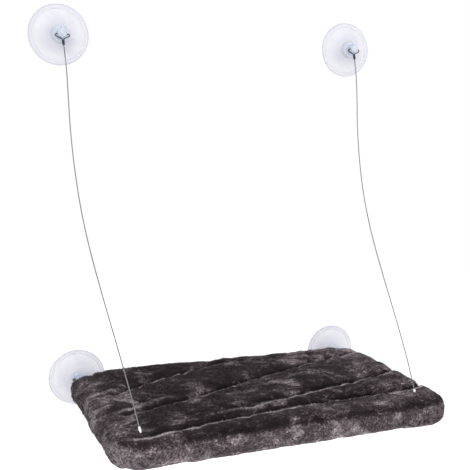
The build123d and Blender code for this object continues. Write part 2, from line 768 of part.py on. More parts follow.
def foam_pocket():
    """Space between the frame's inner sides that the foam fills, open to the underside."""
    half_width = side_tube_x - TUBE_DIAMETER / 2
    rear_y = rear_tube_y - TUBE_DIAMETER / 2
    front_y = front_tube_y + TUBE_DIAMETER / 2
    middle_y = (rear_y + front_y) / 2
    pocket = Rectangle(2 * half_width, rear_y - front_y)
    return Pos(0, middle_y, bed_bottom) * extrude(pocket, foam_top - bed_bottom)


def panel_sheet(edge_gap):
    """The underside panel's slab, or with no gap the recess that it lies in."""
    corner = PANEL_CORNER_RADIUS - edge_gap
    plan = bed_plan(PANEL_INSET + edge_gap, PANEL_REAR_INSET + edge_gap, corner)
    return Pos(0, 0, bed_bottom) * extrude(plan, PANEL_THICKNESS)


def plush_cover():
    """Padded cover: outer form less the frame's sleeve, the foam's pocket and its openings."""
    cover = cover_form() - frame_sleeve() - foam_pocket()
    cover = cover - panel_sheet(0)
    return cover - fitting_notches() - ferrule_channels()


def foam_pad():
    """Foam slab with corners cut off to clear the elbows, the gussets and their wire loops."""
    half_width = side_tube_x - socket_radius - FOAM_EDGE_GAP
    rear_y = rear_tube_y - socket_radius - FOAM_EDGE_GAP
    front_y = front_tube_y + socket_radius + FOAM_EDGE_GAP
    plan = make_face(
        Polyline(
            (-half_width + FOAM_REAR_CHAMFER, rear_y),
            (-half_width, rear_y - FOAM_REAR_CHAMFER),
            (-half_width, front_y + FOAM_FRONT_CHAMFER),
            (-half_width + FOAM_FRONT_CHAMFER, front_y),
            (half_width - FOAM_FRONT_CHAMFER, front_y),
            (half_width, front_y + FOAM_FRONT_CHAMFER),
            (half_width, rear_y - FOAM_REAR_CHAMFER),
            (half_width - FOAM_REAR_CHAMFER, rear_y),
            close=True,
        )
    )
    return Pos(0, 0, panel_top) * extrude(plan, foam_top - panel_top)


def base_panel():
    """Woven underside panel with the slit that the zip closes."""
    slit = Box(ZIP_LENGTH, ZIP_SLIT_WIDTH, PANEL_THICKNESS * 3)
    return panel_sheet(PANEL_EDGE_GAP) - Pos(0, zip_y, bed_bottom) * slit


save(plush_cover(), "plush_cover")
save(foam_pad(), "foam_pad")
save(base_panel(), "base_panel")


# Zip on the underside

def zip_chain():
    """Zip tape sewn on the underside with its closed row of teeth and an end stop at each end."""
    tape = Box(
        ZIP_LENGTH + ZIP_TAPE_WIDTH,
        ZIP_TAPE_WIDTH,
        ZIP_TAPE_THICKNESS,
        align=(Align.CENTER, Align.CENTER, Align.MAX),
    )
    chain_align = (Align.CENTER, Align.CENTER, Align.MAX)
    chain = Box(ZIP_LENGTH, ZIP_CHAIN_WIDTH, ZIP_CHAIN_THICKNESS, align=chain_align)
    chain = chamfer(chain.faces().sort_by(Axis.Z)[0].edges().filter_by(Axis.X), ZIP_CHAIN_CHAMFER)
    stop = Box(ZIP_STOP_LENGTH, ZIP_CHAIN_WIDTH, ZIP_CHAIN_THICKNESS + ZIP_STOP_PROUD, align=chain_align)
    stop_x = (ZIP_LENGTH - ZIP_STOP_LENGTH) / 2
    teeth = chain + Pos(stop_x, 0) * stop + Pos(-stop_x, 0) * stop
    return Pos(0, zip_y, bed_bottom) * (tape + Pos(0, 0, -ZIP_TAPE_THICKNESS) * teeth)


def zip_slider():
    """Slider that straddles the teeth, with the bail that its pull hangs from."""
    channel_width = ZIP_CHAIN_WIDTH + 2 * SLIDER_CLEARANCE
    channel_depth = ZIP_CHAIN_THICKNESS
    height = channel_depth + SLIDER_ROOF
    down = (Align.CENTER, Align.CENTER, Align.MAX)
    body = Box(SLIDER_LENGTH, SLIDER_WIDTH, height, align=down)
    body = fillet(body.edges().filter_by(Axis.Z), SLIDER_ROUND)
    body = body - Box(SLIDER_LENGTH * 2, channel_width, channel_depth, align=down)
    bail_profile = Rectangle(BAIL_LENGTH, BAIL_HEIGHT, align=(Align.CENTER, Align.MAX))
    bail = extrude(Plane.XZ * bail_profile, BAIL_WIDTH / 2, both=True)
    bail = fillet(bail.edges().filter_by(Axis.Y).group_by(Axis.Z)[0], BAIL_ROUND)
    bore_plane = Plane(origin=(0, -SLIDER_WIDTH, -BAIL_HEIGHT / 2), z_dir=(0, 1, 0))
    bore = rod_along(bore_plane, PULL_PIN_DIAMETER / 2 + PIN_RUNNING_CLEARANCE, SLIDER_WIDTH * 2)
    whole = body + Pos(0, 0, -height) * (bail - bore)
    return Pos(slider_x, zip_y, slider_z) * whole


def zip_pull():
    """Pull tab with two arms and the cross pin that turns in the slider's bail."""
    arm_y = BAIL_WIDTH / 2 + SLIDER_CLEARANCE
    half_width = arm_y + PULL_ARM_WIDTH
    window = PULL_ARM_LENGTH
    tab = Rectangle(2 * half_width, PULL_LENGTH, align=(Align.CENTER, Align.MAX))
    tab = fillet(tab.vertices(), PULL_TAB_ROUND)
    tab = Pos(0, PULL_THICKNESS) * tab
    tab = tab - Pos(0, PULL_THICKNESS) * Rectangle(2 * arm_y, window, align=(Align.CENTER, Align.MAX))
    tab = tab - Pos(0, -PULL_LENGTH + 2 * PULL_HOLE_DIAMETER) * Circle(PULL_HOLE_DIAMETER / 2)
    plate = extrude(Plane.YZ * tab, PULL_THICKNESS / 2, both=True)
    pin_plane = Plane(origin=(0, -half_width, 0), z_dir=(0, 1, 0))
    whole = plate + rod_along(pin_plane, PULL_PIN_DIAMETER / 2, 2 * half_width)
    return Pos(slider_x, zip_y, pull_z) * whole


save(zip_chain(), "zip_chain")
save(zip_slider(), "zip_slider")
save(zip_pull(), "zip_pull")
print("pull axis", slider_x, zip_y, round(pull_z, 3))
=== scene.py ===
import json
import logging
import math
from dataclasses import dataclass
from enum import Enum

import bpy
import numpy as np
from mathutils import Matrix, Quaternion, Vector


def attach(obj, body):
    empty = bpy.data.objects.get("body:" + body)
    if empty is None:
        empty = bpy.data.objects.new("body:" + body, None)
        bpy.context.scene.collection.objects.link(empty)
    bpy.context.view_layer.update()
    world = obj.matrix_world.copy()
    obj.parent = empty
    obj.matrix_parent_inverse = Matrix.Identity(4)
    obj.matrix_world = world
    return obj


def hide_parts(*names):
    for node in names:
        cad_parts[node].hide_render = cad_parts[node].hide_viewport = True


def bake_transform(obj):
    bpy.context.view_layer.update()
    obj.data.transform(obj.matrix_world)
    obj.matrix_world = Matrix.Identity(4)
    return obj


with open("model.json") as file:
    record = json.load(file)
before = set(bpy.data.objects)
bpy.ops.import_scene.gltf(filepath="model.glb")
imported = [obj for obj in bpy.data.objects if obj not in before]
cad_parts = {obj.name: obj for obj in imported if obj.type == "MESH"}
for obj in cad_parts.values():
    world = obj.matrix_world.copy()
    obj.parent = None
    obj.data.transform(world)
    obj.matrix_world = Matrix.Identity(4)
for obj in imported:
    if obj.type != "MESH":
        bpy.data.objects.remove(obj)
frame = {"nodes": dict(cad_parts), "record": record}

log = logging.getLogger("perch")
Pair = tuple[float, float]
Point = tuple[float, float, float]
Colour = tuple[float, float, float]
Array = np.ndarray
Piece = bpy.types.Object
Material = bpy.types.Material
Socket = bpy.types.NodeSocket
Value = Socket | float | tuple


class Side(Enum):
    """The two ends of the perch, as seen from the room."""

    LEFT = -1
    RIGHT = 1

    @property
    def word(self) -> str:
        """The side's name as the pieces spell it."""
        return self.name.lower()


class Pile(Enum):
    """How the plush lies in a patch: its colour there, which also carries the painted highlights, painted
    shade and painted light of the cover.
    """

    PRESSED = (0.0125, 0.0078, 0.0092)
    LYING = (0.0460, 0.0330, 0.0375)
    BRUSHED = (0.2400, 0.1980, 0.2150)
    STANDING = (0.6200, 0.5550, 0.5850)


# Nodes of the materials and the room

SMOOTH = {"interpolation_type": "SMOOTHSTEP"}


class NodeTree:
    """A tree of nodes, with short ways to add and join them."""

    def __init__(self, tree: bpy.types.NodeTree) -> None:
        """Takes over a tree and empties it."""
        self.tree = tree
        tree.nodes.clear()

    def add(self, kind: str, settings: dict | None = None, **inputs: Value) -> bpy.types.Node:
        """Adds a node.

        Args:
            kind: the node's class after "ShaderNode".
            settings: properties of the node itself.
            inputs: a value or an output for each named input, spaces written as underscores.

        Returns:
            The new node.
        """
        node = self.tree.nodes.new("ShaderNode" + kind)
        for key, value in (settings or {}).items():
            setattr(node, key, value)
        for key, value in inputs.items():
            self.feed(node.inputs[key.replace("_", " ")], value)
        return node

    def feed(self, socket: Socket, value: Value) -> None:
        """Fills an input.

        Args:
            socket: the input.
            value: a number, a colour, a vector or another node's output.
        """
        if isinstance(value, Socket):
            self.tree.links.new(value, socket)
        elif isinstance(value, tuple) and socket.type == "RGBA":
            socket.default_value = (*value, 1.0)
        else:
            socket.default_value = value

    def sum(self, operation: str, *values: Value) -> Socket:
        """Does one step of arithmetic.

        Args:
            operation: the step, as the Math node calls it.
            values: what it works on.

        Returns:
            The result.
        """
        node = self.add("Math", {"operation": operation})
        for socket, value in zip(node.inputs, values):
            self.feed(socket, value)
        return node.outputs[0]

    def seen(self) -> Socket:
        """Tells the rays that show the scene from those that light it.

        Returns:
            1 for a ray from the camera, in a reflection or through a clear piece, 0 for any other.
        """
        rays = self.add("LightPath").outputs
        onward = self.sum("MAXIMUM", rays["Is Glossy Ray"], rays["Is Transmission Ray"])
        return self.sum("MAXIMUM", rays["Is Camera Ray"], onward)


class Shader(NodeTree):
    """One material: a principled surface and the nodes that feed it."""

    def __init__(self, name: str) -> None:
        """Starts a material.

        Args:
            name: its name.
        """
        self.material = bpy.data.materials.new(name)
        self.material.use_nodes = True
        super().__init__(self.material.node_tree)
        self.surface = self.add("BsdfPrincipled")
        self.add("OutputMaterial", Surface=self.surface.outputs[0])

    def set(self, **inputs: Value) -> None:
        """Sets inputs of the principled surface."""
        for key, value in inputs.items():
            self.feed(self.surface.inputs[key.replace("_", " ")], value)

    def coordinates(self, scale: Point = (1.0, 1.0, 1.0), turn: Point = (0.0, 0.0, 0.0)) -> Socket:
        """Object coordinates, turned by Euler angles in radians and scaled along each axis."""
        place = self.add("TexCoord").outputs["Object"]
        return self.add("Mapping", Vector=place, Rotation=turn, Scale=scale).outputs["Vector"]

    def noise(
        self, vector: Socket, scale: float, detail: float = 3.0, roughness: float = 0.55, bend: float = 0.0
    ) -> Socket:
        """Fractal noise from 0 to 1, of about so many lumps to the metre, that bends its own coordinates."""
        shape = {"Detail": detail, "Roughness": roughness, "Distortion": bend}
        return self.add("TexNoise", Vector=vector, Scale=scale, **shape).outputs["Fac"]

    def span(self, value: Value, across: Pair, onto: Pair = (0.0, 1.0)) -> Socket:
        """A value with one range of it carried smoothly onto another, and held outside."""
        ends = dict(zip(("From_Min", "From_Max", "To_Min", "To_Max"), (*across, *onto)))
        return self.add("MapRange", SMOOTH, Value=value, **ends).outputs["Result"]

    def blend(self, share: Value, first: Value, second: Value) -> Socket:
        """Mixes two colours.

        Args:
            share: how much of the second one there is.
            first: a colour.
            second: another colour.

        Returns:
            The mixed colour.
        """
        node = self.add("Mix", {"data_type": "RGBA"})
        for place, value in ((0, share), (6, first), (7, second)):
            self.feed(node.inputs[place], value)
        return node.outputs[2]

    def attribute(self, name: str) -> Socket:
        """A mesh attribute as a value."""
        return self.add("Attribute", {"attribute_name": name}).outputs["Fac"]

    def relief(self, **inputs: Value) -> Socket:
        """The normal bent by a bump, whose height is a share of its distance in metres."""
        return self.add("Bump", **inputs).outputs["Normal"]


# Finishes


@dataclass(frozen=True)
class ClearPvc:
    """Soft PVC gone milky, bluer in the thick boss, with painted shade as a dark line on the lip and a softer
    band inside it, and painted sparkle as specks on the boss.
    """

    tint: Colour = (0.772, 0.767, 0.838)
    pale_tint: Colour = (0.802, 0.802, 0.862)
    # painted shade: tint of the dark line on the lip and of the band inside it
    painted_rim_shade: Colour = (0.54, 0.525, 0.69)
    # the boss's blue, with a deeper blue for the painted sparkle of its specks
    boss_tint: Colour = (0.83, 0.90, 1.00)
    deep_tint: Colour = (0.58, 0.69, 0.95)
    clearness: float = 0.10
    milkiness: float = 0.60
    lower_x: float = 0.250
    upper_x: float = 0.266
    rise: float = 0.583
    # reach and strength of the painted rim shade: the lip line, then the softer band
    lip_band: Pair = (0.0461, 0.0483)
    lip_share: float = 0.85
    ring_band: Pair = (0.0340, 0.0480)
    ring_share: float = 0.22
    boss_band: Pair = (0.0125, 0.0155)
    boss_share: float = 0.80

    def from_axis(self, shader: Shader) -> Socket:
        """Distance from the axis of the cup that a point is on, the four cups folded onto one.

        Args:
            shader: the material being built.

        Returns:
            The distance in metres.
        """
        place = shader.add("SeparateXYZ", Vector=shader.coordinates()).outputs
        upper = shader.sum("GREATER_THAN", place["Z"], self.rise / 2.0)
        middle = shader.sum("MULTIPLY_ADD", upper, self.upper_x - self.lower_x, self.lower_x)
        across = shader.sum("SUBTRACT", shader.sum("ABSOLUTE", place["X"]), middle)
        above = shader.sum("SUBTRACT", place["Z"], shader.sum("MULTIPLY", upper, self.rise))
        squares = (shader.sum("MULTIPLY", value, value) for value in (across, above))
        return shader.sum("SQRT", shader.sum("ADD", *squares))

    def material(self) -> Material:
        """Builds the material.

        Returns:
            The material.
        """
        shader = Shader("clear_pvc")
        place = shader.coordinates()
        haze = shader.noise(place, scale=45.0)
        far = self.from_axis(shader)
        # painted shade: a dark line on the lip and a softer band inside it, by distance from the cup's axis
        lip = shader.span(far, self.lip_band, (0.0, self.lip_share))
        ring = shader.span(far, self.ring_band, (0.0, self.ring_share))
        boss = shader.span(far, self.boss_band, (self.boss_share, 0.0))
        # painted sparkle: specks of pale and deeper blue on the boss; the same pits also raise a real bump
        pits = shader.noise(place, scale=330.0, roughness=0.7)
        painted_boss_sparkle = shader.blend(shader.span(pits, (0.42, 0.62)), self.boss_tint, self.deep_tint)
        colour = shader.blend(shader.span(haze, (0.35, 0.65)), self.tint, self.pale_tint)
        colour = shader.blend(ring, colour, self.painted_rim_shade)
        colour = shader.blend(boss, colour, painted_boss_sparkle)
        pitting = shader.sum("MULTIPLY", pits, boss)
        waves = shader.relief(Height=haze, Strength=0.06, Distance=0.0006)
        shader.set(
            Base_Color=shader.blend(lip, colour, self.painted_rim_shade),
            Roughness=shader.span(haze, (0.3, 0.7), (0.30, 0.42)),
            Transmission_Weight=self.clearness,
            Subsurface_Weight=self.milkiness,
            Subsurface_Radius=(1.0, 1.0, 1.0),
            Subsurface_Scale=0.008,
            Specular_IOR_Level=0.30,
            IOR=1.38,
            Normal=shader.relief(Height=pitting, Strength=1.0, Distance=0.0022, Normal=waves),
        )
        return shader.material


@dataclass(frozen=True)
class SteelRope:
    """Bare stranded steel with darker blotches here and there."""

    name: str = "steel_rope"
    tint: Colour = (0.27, 0.27, 0.275)
    grimy: Colour = (0.15, 0.15, 0.155)

    def material(self) -> Material:
        """Builds the material.

        Returns:
            The material.
        """
        shader = Shader(self.name)
        place = shader.coordinates()
        grime = shader.noise(place, scale=900.0, detail=4.0)
        threads = shader.noise(place, scale=2600.0, detail=2.0)
        shader.set(
            Base_Color=shader.blend(grime, self.tint, self.grimy),
            Metallic=0.9,
            Roughness=shader.span(grime, (0.2, 0.8), (0.25, 0.45)),
            Normal=shader.relief(Height=threads, Strength=0.3, Distance=0.0002),
        )
        return shader.material


@dataclass(frozen=True)
class Metal:
    """A metal or lacquered metal with fine scratches and worn spots."""

    name: str
    tint: Colour
    worn: Colour
    metallic: float
    roughness: float

    def material(self) -> Material:
        """Builds the material.

        Returns:
            The material.
        """
        shader = Shader(self.name)
        scratches = shader.noise(shader.coordinates((1.0, 9.0, 1.0), (0.3, 0.5, 0.4)), scale=700.0)
        wear = shader.noise(shader.coordinates(), scale=130.0, detail=5.0, roughness=0.7)
        polish = (self.roughness * 0.75, self.roughness * 1.3)
        shader.set(
            Base_Color=shader.blend(shader.span(wear, (0.55, 0.75)), self.tint, self.worn),
            Metallic=self.metallic,
            Roughness=shader.span(scratches, (0.2, 0.8), polish),
            Normal=shader.relief(Height=scratches, Strength=0.15, Distance=0.0002),
        )
        return shader.material


@dataclass(frozen=True)
class MouldedPlastic:
    """Black moulded plastic with a spark-eroded grain, paler where it is rubbed."""

    name: str = "corner_plastic"
    tint: Colour = (0.028, 0.028, 0.030)
    roughness: float = 0.52
    rubbed: Colour = (0.06, 0.06, 0.062)

    def material(self) -> Material:
        """Builds the material.

        Returns:
            The material.
        """
        shader = Shader(self.name)
        place = shader.coordinates()
        grain = shader.noise(place, scale=1500.0, detail=2.0)
        rub = shader.noise(place, scale=60.0, detail=5.0, roughness=0.7)
        polish = (self.roughness - 0.10, self.roughness + 0.10)
        shader.set(
            Base_Color=shader.blend(shader.span(rub, (0.5, 0.8)), self.tint, self.rubbed),
            Roughness=shader.span(grain, (0.2, 0.8), polish),
            Normal=shader.relief(Height=grain, Strength=0.25, Distance=0.0002),
        )
        return shader.material


@dataclass(frozen=True)
class Foam:
    """Open cell foam, with painted shade in its cells."""

    tint: Colour = (0.80, 0.78, 0.68)
    cell_shade_tint: Colour = (0.52, 0.50, 0.40)

    def material(self) -> Material:
        """Builds the material.

        Returns:
            The material.
        """
        shader = Shader("foam")
        cells = shader.add("TexVoronoi", Vector=shader.coordinates(), Scale=420.0).outputs["Distance"]
        shader.set(
            # painted shade: darker toward the middle of each cell
            Base_Color=shader.blend(shader.span(cells, (0.0, 0.6)), self.cell_shade_tint, self.tint),
            Roughness=0.95,
            Normal=shader.relief(Height=cells, Strength=0.8, Distance=0.001),
        )
        return shader.material


@dataclass(frozen=True)
class WovenCloth:
    """Plain weave: two sets of threads that pass over and under each other, faded in places."""

    name: str
    tint: Colour
    light: Colour
    thread: float

    def threads(self, shader: Shader, axis: str) -> Socket:
        """Bands across one axis. The wave node has 20 scales to the radian, and a wave is two threads.

        Args:
            shader: the material being built.
            axis: the axis.

        Returns:
            A value between 0 and 1.
        """
        settings = {"wave_type": "BANDS", "bands_direction": axis, "wave_profile": "SIN"}
        scale = 1.0 / (self.thread * 20.0) * math.pi
        return shader.add(
            "TexWave", settings, Vector=shader.coordinates(), Scale=scale, Distortion=0.6
        ).outputs["Fac"]

    def material(self) -> Material:
        """Builds the material.

        Returns:
            The material.
        """
        shader = Shader(self.name)
        weave = shader.sum("MULTIPLY", self.threads(shader, "X"), self.threads(shader, "Y"))
        fluff = shader.noise(shader.coordinates(), scale=500.0)
        fade = shader.noise(shader.coordinates((1.0, 3.0, 1.0), (0.0, 0.0, 0.35)), scale=11.0, detail=4.0)
        colour = shader.blend(shader.sum("MULTIPLY", weave, fluff), self.tint, self.light)
        shader.set(
            Base_Color=shader.blend(shader.span(fade, (0.35, 0.75), (0.0, 0.12)), colour, self.light),
            Roughness=0.86,
            Sheen_Weight=0.15,
            Sheen_Roughness=0.5,
            Normal=shader.relief(Height=weave, Strength=0.6, Distance=0.0004),
        )
        return shader.material


@dataclass(frozen=True)
class Plush:
    """Short crushed pile: near black where it is pressed flat, mauve grey where it stands or is brushed, with
    painted highlights along the crests, painted shade in the valleys and painted light on the sides and
    front.
    """

    name: str = "plush"
    tips: float = 0.0
    shades: float = 0.30
    ground: float = 0.035
    broad_streaks: Pair = (0.40, 0.12)
    small_streaks: Pair = (0.30, 0.05)
    # painted light: faces that turn away from up are lighter than the top
    painted_side_light: float = 0.08
    # painted highlight: how much lighter the crests are
    crest: Pair = (0.70, 0.95)
    # painted shade: how much darker the valleys are
    valley: float = -0.34
    clumps: Pair = (0.45, 1.50)
    pile_steps: tuple[float, ...] = (0.0, 0.26, 0.58, 1.0)
    sheen_tint: Colour = (0.80, 0.68, 0.74)

    def feathers(self, shader: Shader, scale: float, ragged: Socket, angle: float) -> Socket:
        """Streaks from 0 to 1 with one sharp and one soft side, as of pile swept against its lie.

        Only the fraction of four times a slow noise is kept, so each streak fades up from nothing and ends at
        once. Fine noise added first makes that end ragged.

        Args:
            shader: the material being built.
            scale: lumps of the slow noise to the metre.
            ragged: the fine noise.
            angle: direction of the streaks in radians.

        Returns:
            The streaks.
        """
        place = shader.coordinates((0.6, 1.5, 1.0), (0.0, 0.0, angle))
        slow = shader.noise(place, scale, detail=2.0, roughness=0.5, bend=0.5)
        rough = shader.sum("MULTIPLY", ragged, 0.40)
        return shader.sum("FRACT", shader.sum("MULTIPLY_ADD", slow, 4.0, rough))

    def lift(self, shader: Shader, place: Socket) -> tuple[Socket, Socket]:
        """How light the pile shows at each point, from 0 pressed flat to 1 fully standing.

        Patches and the streaks in them are added to the mesh's own marks: how far its pile stands, with
        painted light on the front face, a painted highlight on each crest and painted shade in each valley.
        Painted light also makes faces that turn from up lighter. Clumps of tufts then weaken or strengthen it
        all.

        Args:
            shader: the material being built.
            place: object coordinates.

        Returns:
            That value, and the clumps of tufts.
        """
        tufts = shader.noise(place, scale=330.0, detail=4.0, roughness=0.75, bend=0.6)
        broad = shader.span(shader.noise(place, scale=12.0, bend=0.8), (0.42, 0.67))
        small = shader.span(shader.noise(place, scale=40.0, roughness=0.6, bend=1.2), (0.42, 0.68))
        swept = shader.span(self.feathers(shader, 24.0, tufts, 0.5), (0.10, 1.0))
        strokes = shader.span(self.feathers(shader, 62.0, tufts, -0.6), (0.30, 1.0))
        value = self.ground
        patches = ((broad, swept, self.broad_streaks), (small, strokes, self.small_streaks))
        for patch, streaks, strength in patches:
            value = shader.sum("MULTIPLY_ADD", patch, shader.sum("MULTIPLY_ADD", streaks, *strength), value)
        # painted light: lighter where the surface turns from up toward the side
        upward = shader.add("SeparateXYZ", Vector=shader.add("NewGeometry").outputs["Normal"]).outputs["Z"]
        # how far the pile stands, with painted light on the front face
        value = shader.sum("ADD", value, shader.attribute("stand_and_lit"))
        value = shader.sum("MULTIPLY_ADD", shader.span(upward, (0.35, 0.95), (1.0, 0.0)), self.painted_side_light, value)
        # painted highlight: a light line along each crest
        crest_highlight = shader.sum("MULTIPLY_ADD", small, *self.crest)
        value = shader.sum("ADD", value, shader.sum("MULTIPLY", shader.attribute("lit_edge"), crest_highlight))
        # painted shade: darker in each valley
        value = shader.sum("MULTIPLY_ADD", shader.attribute("valley"), self.valley, value)
        return shader.sum("MULTIPLY", value, shader.span(tufts, (0.32, 0.68), self.clumps)), tufts

    def material(self) -> Material:
        """Builds the material.

        Returns:
            The material.
        """
        shader = Shader(self.name)
        place = shader.coordinates()
        lift, tufts = self.lift(shader, place)
        if self.tips:
            for mark, middle, share in (("tip", 0.55, self.tips), ("shade", 0.5, self.shades)):
                off = shader.sum("SUBTRACT", shader.attribute(mark), middle)
                lift = shader.sum("MULTIPLY_ADD", off, share, lift)
        fibres = shader.noise(place, scale=1100.0, detail=2.0, roughness=0.7)
        tints = shader.add("ValToRGB", Fac=lift)
        stops = tints.color_ramp.elements
        stops[1].position = self.pile_steps[-1]
        for step in self.pile_steps[1:-1]:
            stops.new(step)
        for stop, pile in zip(stops, Pile):
            stop.color = (*pile.value, 1.0)
        strength = shader.span(fibres, (0.30, 0.70), (0.70, 1.18))
        colour = shader.add("VectorMath", {"operation": "SCALE"}, Scale=strength)
        shader.feed(colour.inputs[0], tints.outputs["Color"])
        tangle = shader.sum("MULTIPLY_ADD", fibres, 0.3, shader.sum("MULTIPLY", tufts, 0.7))
        shader.set(
            Base_Color=colour.outputs[0],
            Roughness=0.92,
            Specular_IOR_Level=0.10,
            Sheen_Weight=0.05,
            Sheen_Roughness=0.5,
            Sheen_Tint=self.sheen_tint,
            Normal=shader.relief(Height=tangle, Strength=0.9, Distance=0.0022),
        )
        return shader.material


# Surfaces


def grid_faces(rows: int, columns: int, round_trip: bool = False) -> Array:
    """Quads that join a grid of points numbered row by row.

    Args:
        rows: number of rows.
        columns: points in a row.
        round_trip: whether each row closes on itself.

    Returns:
        One line of four point numbers for each quad.
    """
    across = columns if round_trip else columns - 1
    start = np.arange(rows - 1)[:, None] * columns
    here = start + np.arange(across)[None, :]
    beside = start + (np.arange(across)[None, :] + 1) % columns
    return np.stack([here, beside, beside + columns, here + columns], axis=-1).reshape(-1, 4)


def solid_object(name: str, points: Array, faces: list) -> Piece:
    """Makes a smooth object at the origin.

    Args:
        name: its name.
        points: three coordinates for each vertex, in metres.
        faces: point numbers of each face.

    Returns:
        The object, linked into the scene.
    """
    mesh = bpy.data.meshes.new(name)
    mesh.from_pydata(points.tolist(), [], [list(face) for face in faces])
    mesh.validate()
    mesh.polygons.foreach_set("use_smooth", np.ones(len(mesh.polygons), bool))
    piece = bpy.data.objects.new(name, mesh)
    bpy.context.scene.collection.objects.link(piece)
    return piece


def read(items: bpy.types.bpy_prop_collection, key: str, width: int = 1, kind: type = float) -> Array:
    """Reads one property of every item of a mesh.

    Args:
        items: its vertices, triangles or values.
        key: the property.
        width: how many numbers it has.
        kind: kind of these numbers.

    Returns:
        One number, or one line of numbers, for each item.
    """
    flat = np.zeros(len(items) * width, kind)
    items.foreach_get(key, flat)
    return flat.reshape(-1, width) if width > 1 else flat


def store_value(mesh: bpy.types.Mesh, name: str, values: Array) -> None:
    """Keeps one number for each vertex as a mesh attribute of this name."""
    mesh.attributes.new(name, "FLOAT", "POINT").data.foreach_set("value", values.astype(np.float32))


def smooth_step(value: Array) -> Array:
    """Rises from 0 to 1 with level ends: three squares less two cubes of the value, held to 0..1."""
    held = np.clip(value, 0.0, 1.0)
    return held * held * (3.0 - 2.0 * held)


def ramp(value: Array, ends: Pair) -> Array:
    """Smooth step of a value that runs from the first end, where it is 0, to the second, where it is 1."""
    return smooth_step((value - ends[0]) / (ends[1] - ends[0]))


def bell(value: Array, middle: float, reach: float) -> Array:
    """Bell curve: e to the power of less the square of the distance from the middle in reaches."""
    return np.exp(-(((value - middle) / reach) ** 2))


def fullness(inside: Array, reach: float, power: float = 2.0) -> Array:
    """A quarter superellipse of this power: 0 at the edge, 1 at its reach inside it and beyond."""
    return (1.0 - (1.0 - np.clip(inside / reach, 0.0, 1.0)) ** power) ** (1.0 / power)


def inside_rounded(x: Array, y: Array, half_x: float, half_y: float, corner: float) -> Array:
    """Distance inside a round-cornered rectangle about the origin, no more than the corner's radius.

    Args:
        x: places along it.
        y: places across it.
        half_x: half its length.
        half_y: half its width.
        corner: radius of its corners.

    Returns:
        The radius less the distance past the corners' middles, below 0 outside.
    """
    over_x = np.maximum(np.abs(x) - (half_x - corner), 0.0)
    over_y = np.maximum(np.abs(y) - (half_y - corner), 0.0)
    return corner - np.hypot(over_x, over_y)


def joined_sheets(name: str, x: Array, y: Array, heights: list[Array]) -> tuple[Piece, Array]:
    """Joins an upper and a lower grid of points with a common rim into one closed surface.

    Args:
        name: the piece's name.
        x: the stations.
        y: the rows at each station.
        heights: height of the upper and of the lower sheet at each point.

    Returns:
        The piece, and which of all the points it keeps.
    """
    across, along = y.shape
    number = np.arange(across * along).reshape(across, along)
    rim = np.zeros((across, along), bool)
    rim[[0, -1], :] = True
    rim[:, [0, -1]] = True
    below = np.where(rim, number, number + across * along)
    quads = grid_faces(across, along)
    both = np.concatenate([quads, below.ravel()[quads[:, ::-1]]])
    used = np.unique(both)
    renumber = np.full(2 * across * along, -1)
    renumber[used] = np.arange(len(used))
    wide = np.repeat(x, along)
    points = np.concatenate([np.column_stack([wide, y.ravel(), z.ravel()]) for z in heights])
    return solid_object(name, points[used], renumber[both].tolist()), used


def closed_tube(name: str, rings: Array) -> Piece:
    """Joins rings of points one to the next, with a flat face at either end.

    Args:
        name: the piece's name.
        rings: the points of each ring.

    Returns:
        The piece.
    """
    rows, count = rings.shape[:2]
    faces = grid_faces(rows, count, round_trip=True).tolist()
    faces.append(list(range(count))[::-1])
    faces.append(list(range((rows - 1) * count, rows * count)))
    return solid_object(name, rings.reshape(-1, 3), faces)


def rounded_bars(name: str, spots: Array, level: float, ahead: Array | Pair, size: Point) -> Piece:
    """Makes many small level rounded bars, such as stitches or zip teeth, as one piece.

    Each bar is rings from pole to pole. A ring's share of the full girth is the fourth root of one less the
    fourth power of its place along the bar.

    Args:
        name: the piece's name.
        spots: x and y of each bar's middle.
        level: height of them all.
        ahead: direction of each bar along x and y, or one for all.
        size: length, width and height.

    Returns:
        The piece.
    """
    places = np.array([-0.90, -0.45, 0.45, 0.90])
    sides = 6
    middles = np.column_stack([spots, np.full(len(spots), level)])
    along = np.column_stack([np.broadcast_to(ahead, spots.shape), np.zeros(len(spots))])
    along /= np.linalg.norm(along, axis=1, keepdims=True)
    down = np.array([0.0, 0.0, -1.0])
    beside = np.cross(down, along)
    girth = (1.0 - places**4) ** 0.25
    angle = np.arange(sides) * 2.0 * np.pi / sides
    length, width, height = (value / 2.0 for value in size)
    rings = (
        middles[:, None, None]
        + along[:, None, None] * (places * length)[None, :, None, None]
        + beside[:, None, None] * (girth[:, None] * np.cos(angle) * width)[None, :, :, None]
        + down * (girth[:, None] * np.sin(angle) * height)[None, :, :, None]
    )
    ends = np.stack([middles - along * length, middles + along * length], axis=1)
    points = np.concatenate([rings.reshape(len(middles), -1, 3), ends], axis=1)
    quads = grid_faces(len(places), sides, round_trip=True)
    step = np.arange(sides)
    last = (len(places) - 1) * sides
    first_end = np.stack([np.roll(step, -1), step, np.full(sides, last + sides)], axis=1)
    far_end = np.stack([last + step, last + np.roll(step, -1), np.full(sides, last + sides + 1)], axis=1)
    start = np.arange(len(middles))[:, None, None] * points.shape[1]
    faces = (start + quads[None]).reshape(-1, 4).tolist()
    faces += (start + np.concatenate([first_end, far_end])[None]).reshape(-1, 3).tolist()
    return solid_object(name, points.reshape(-1, 3), faces)


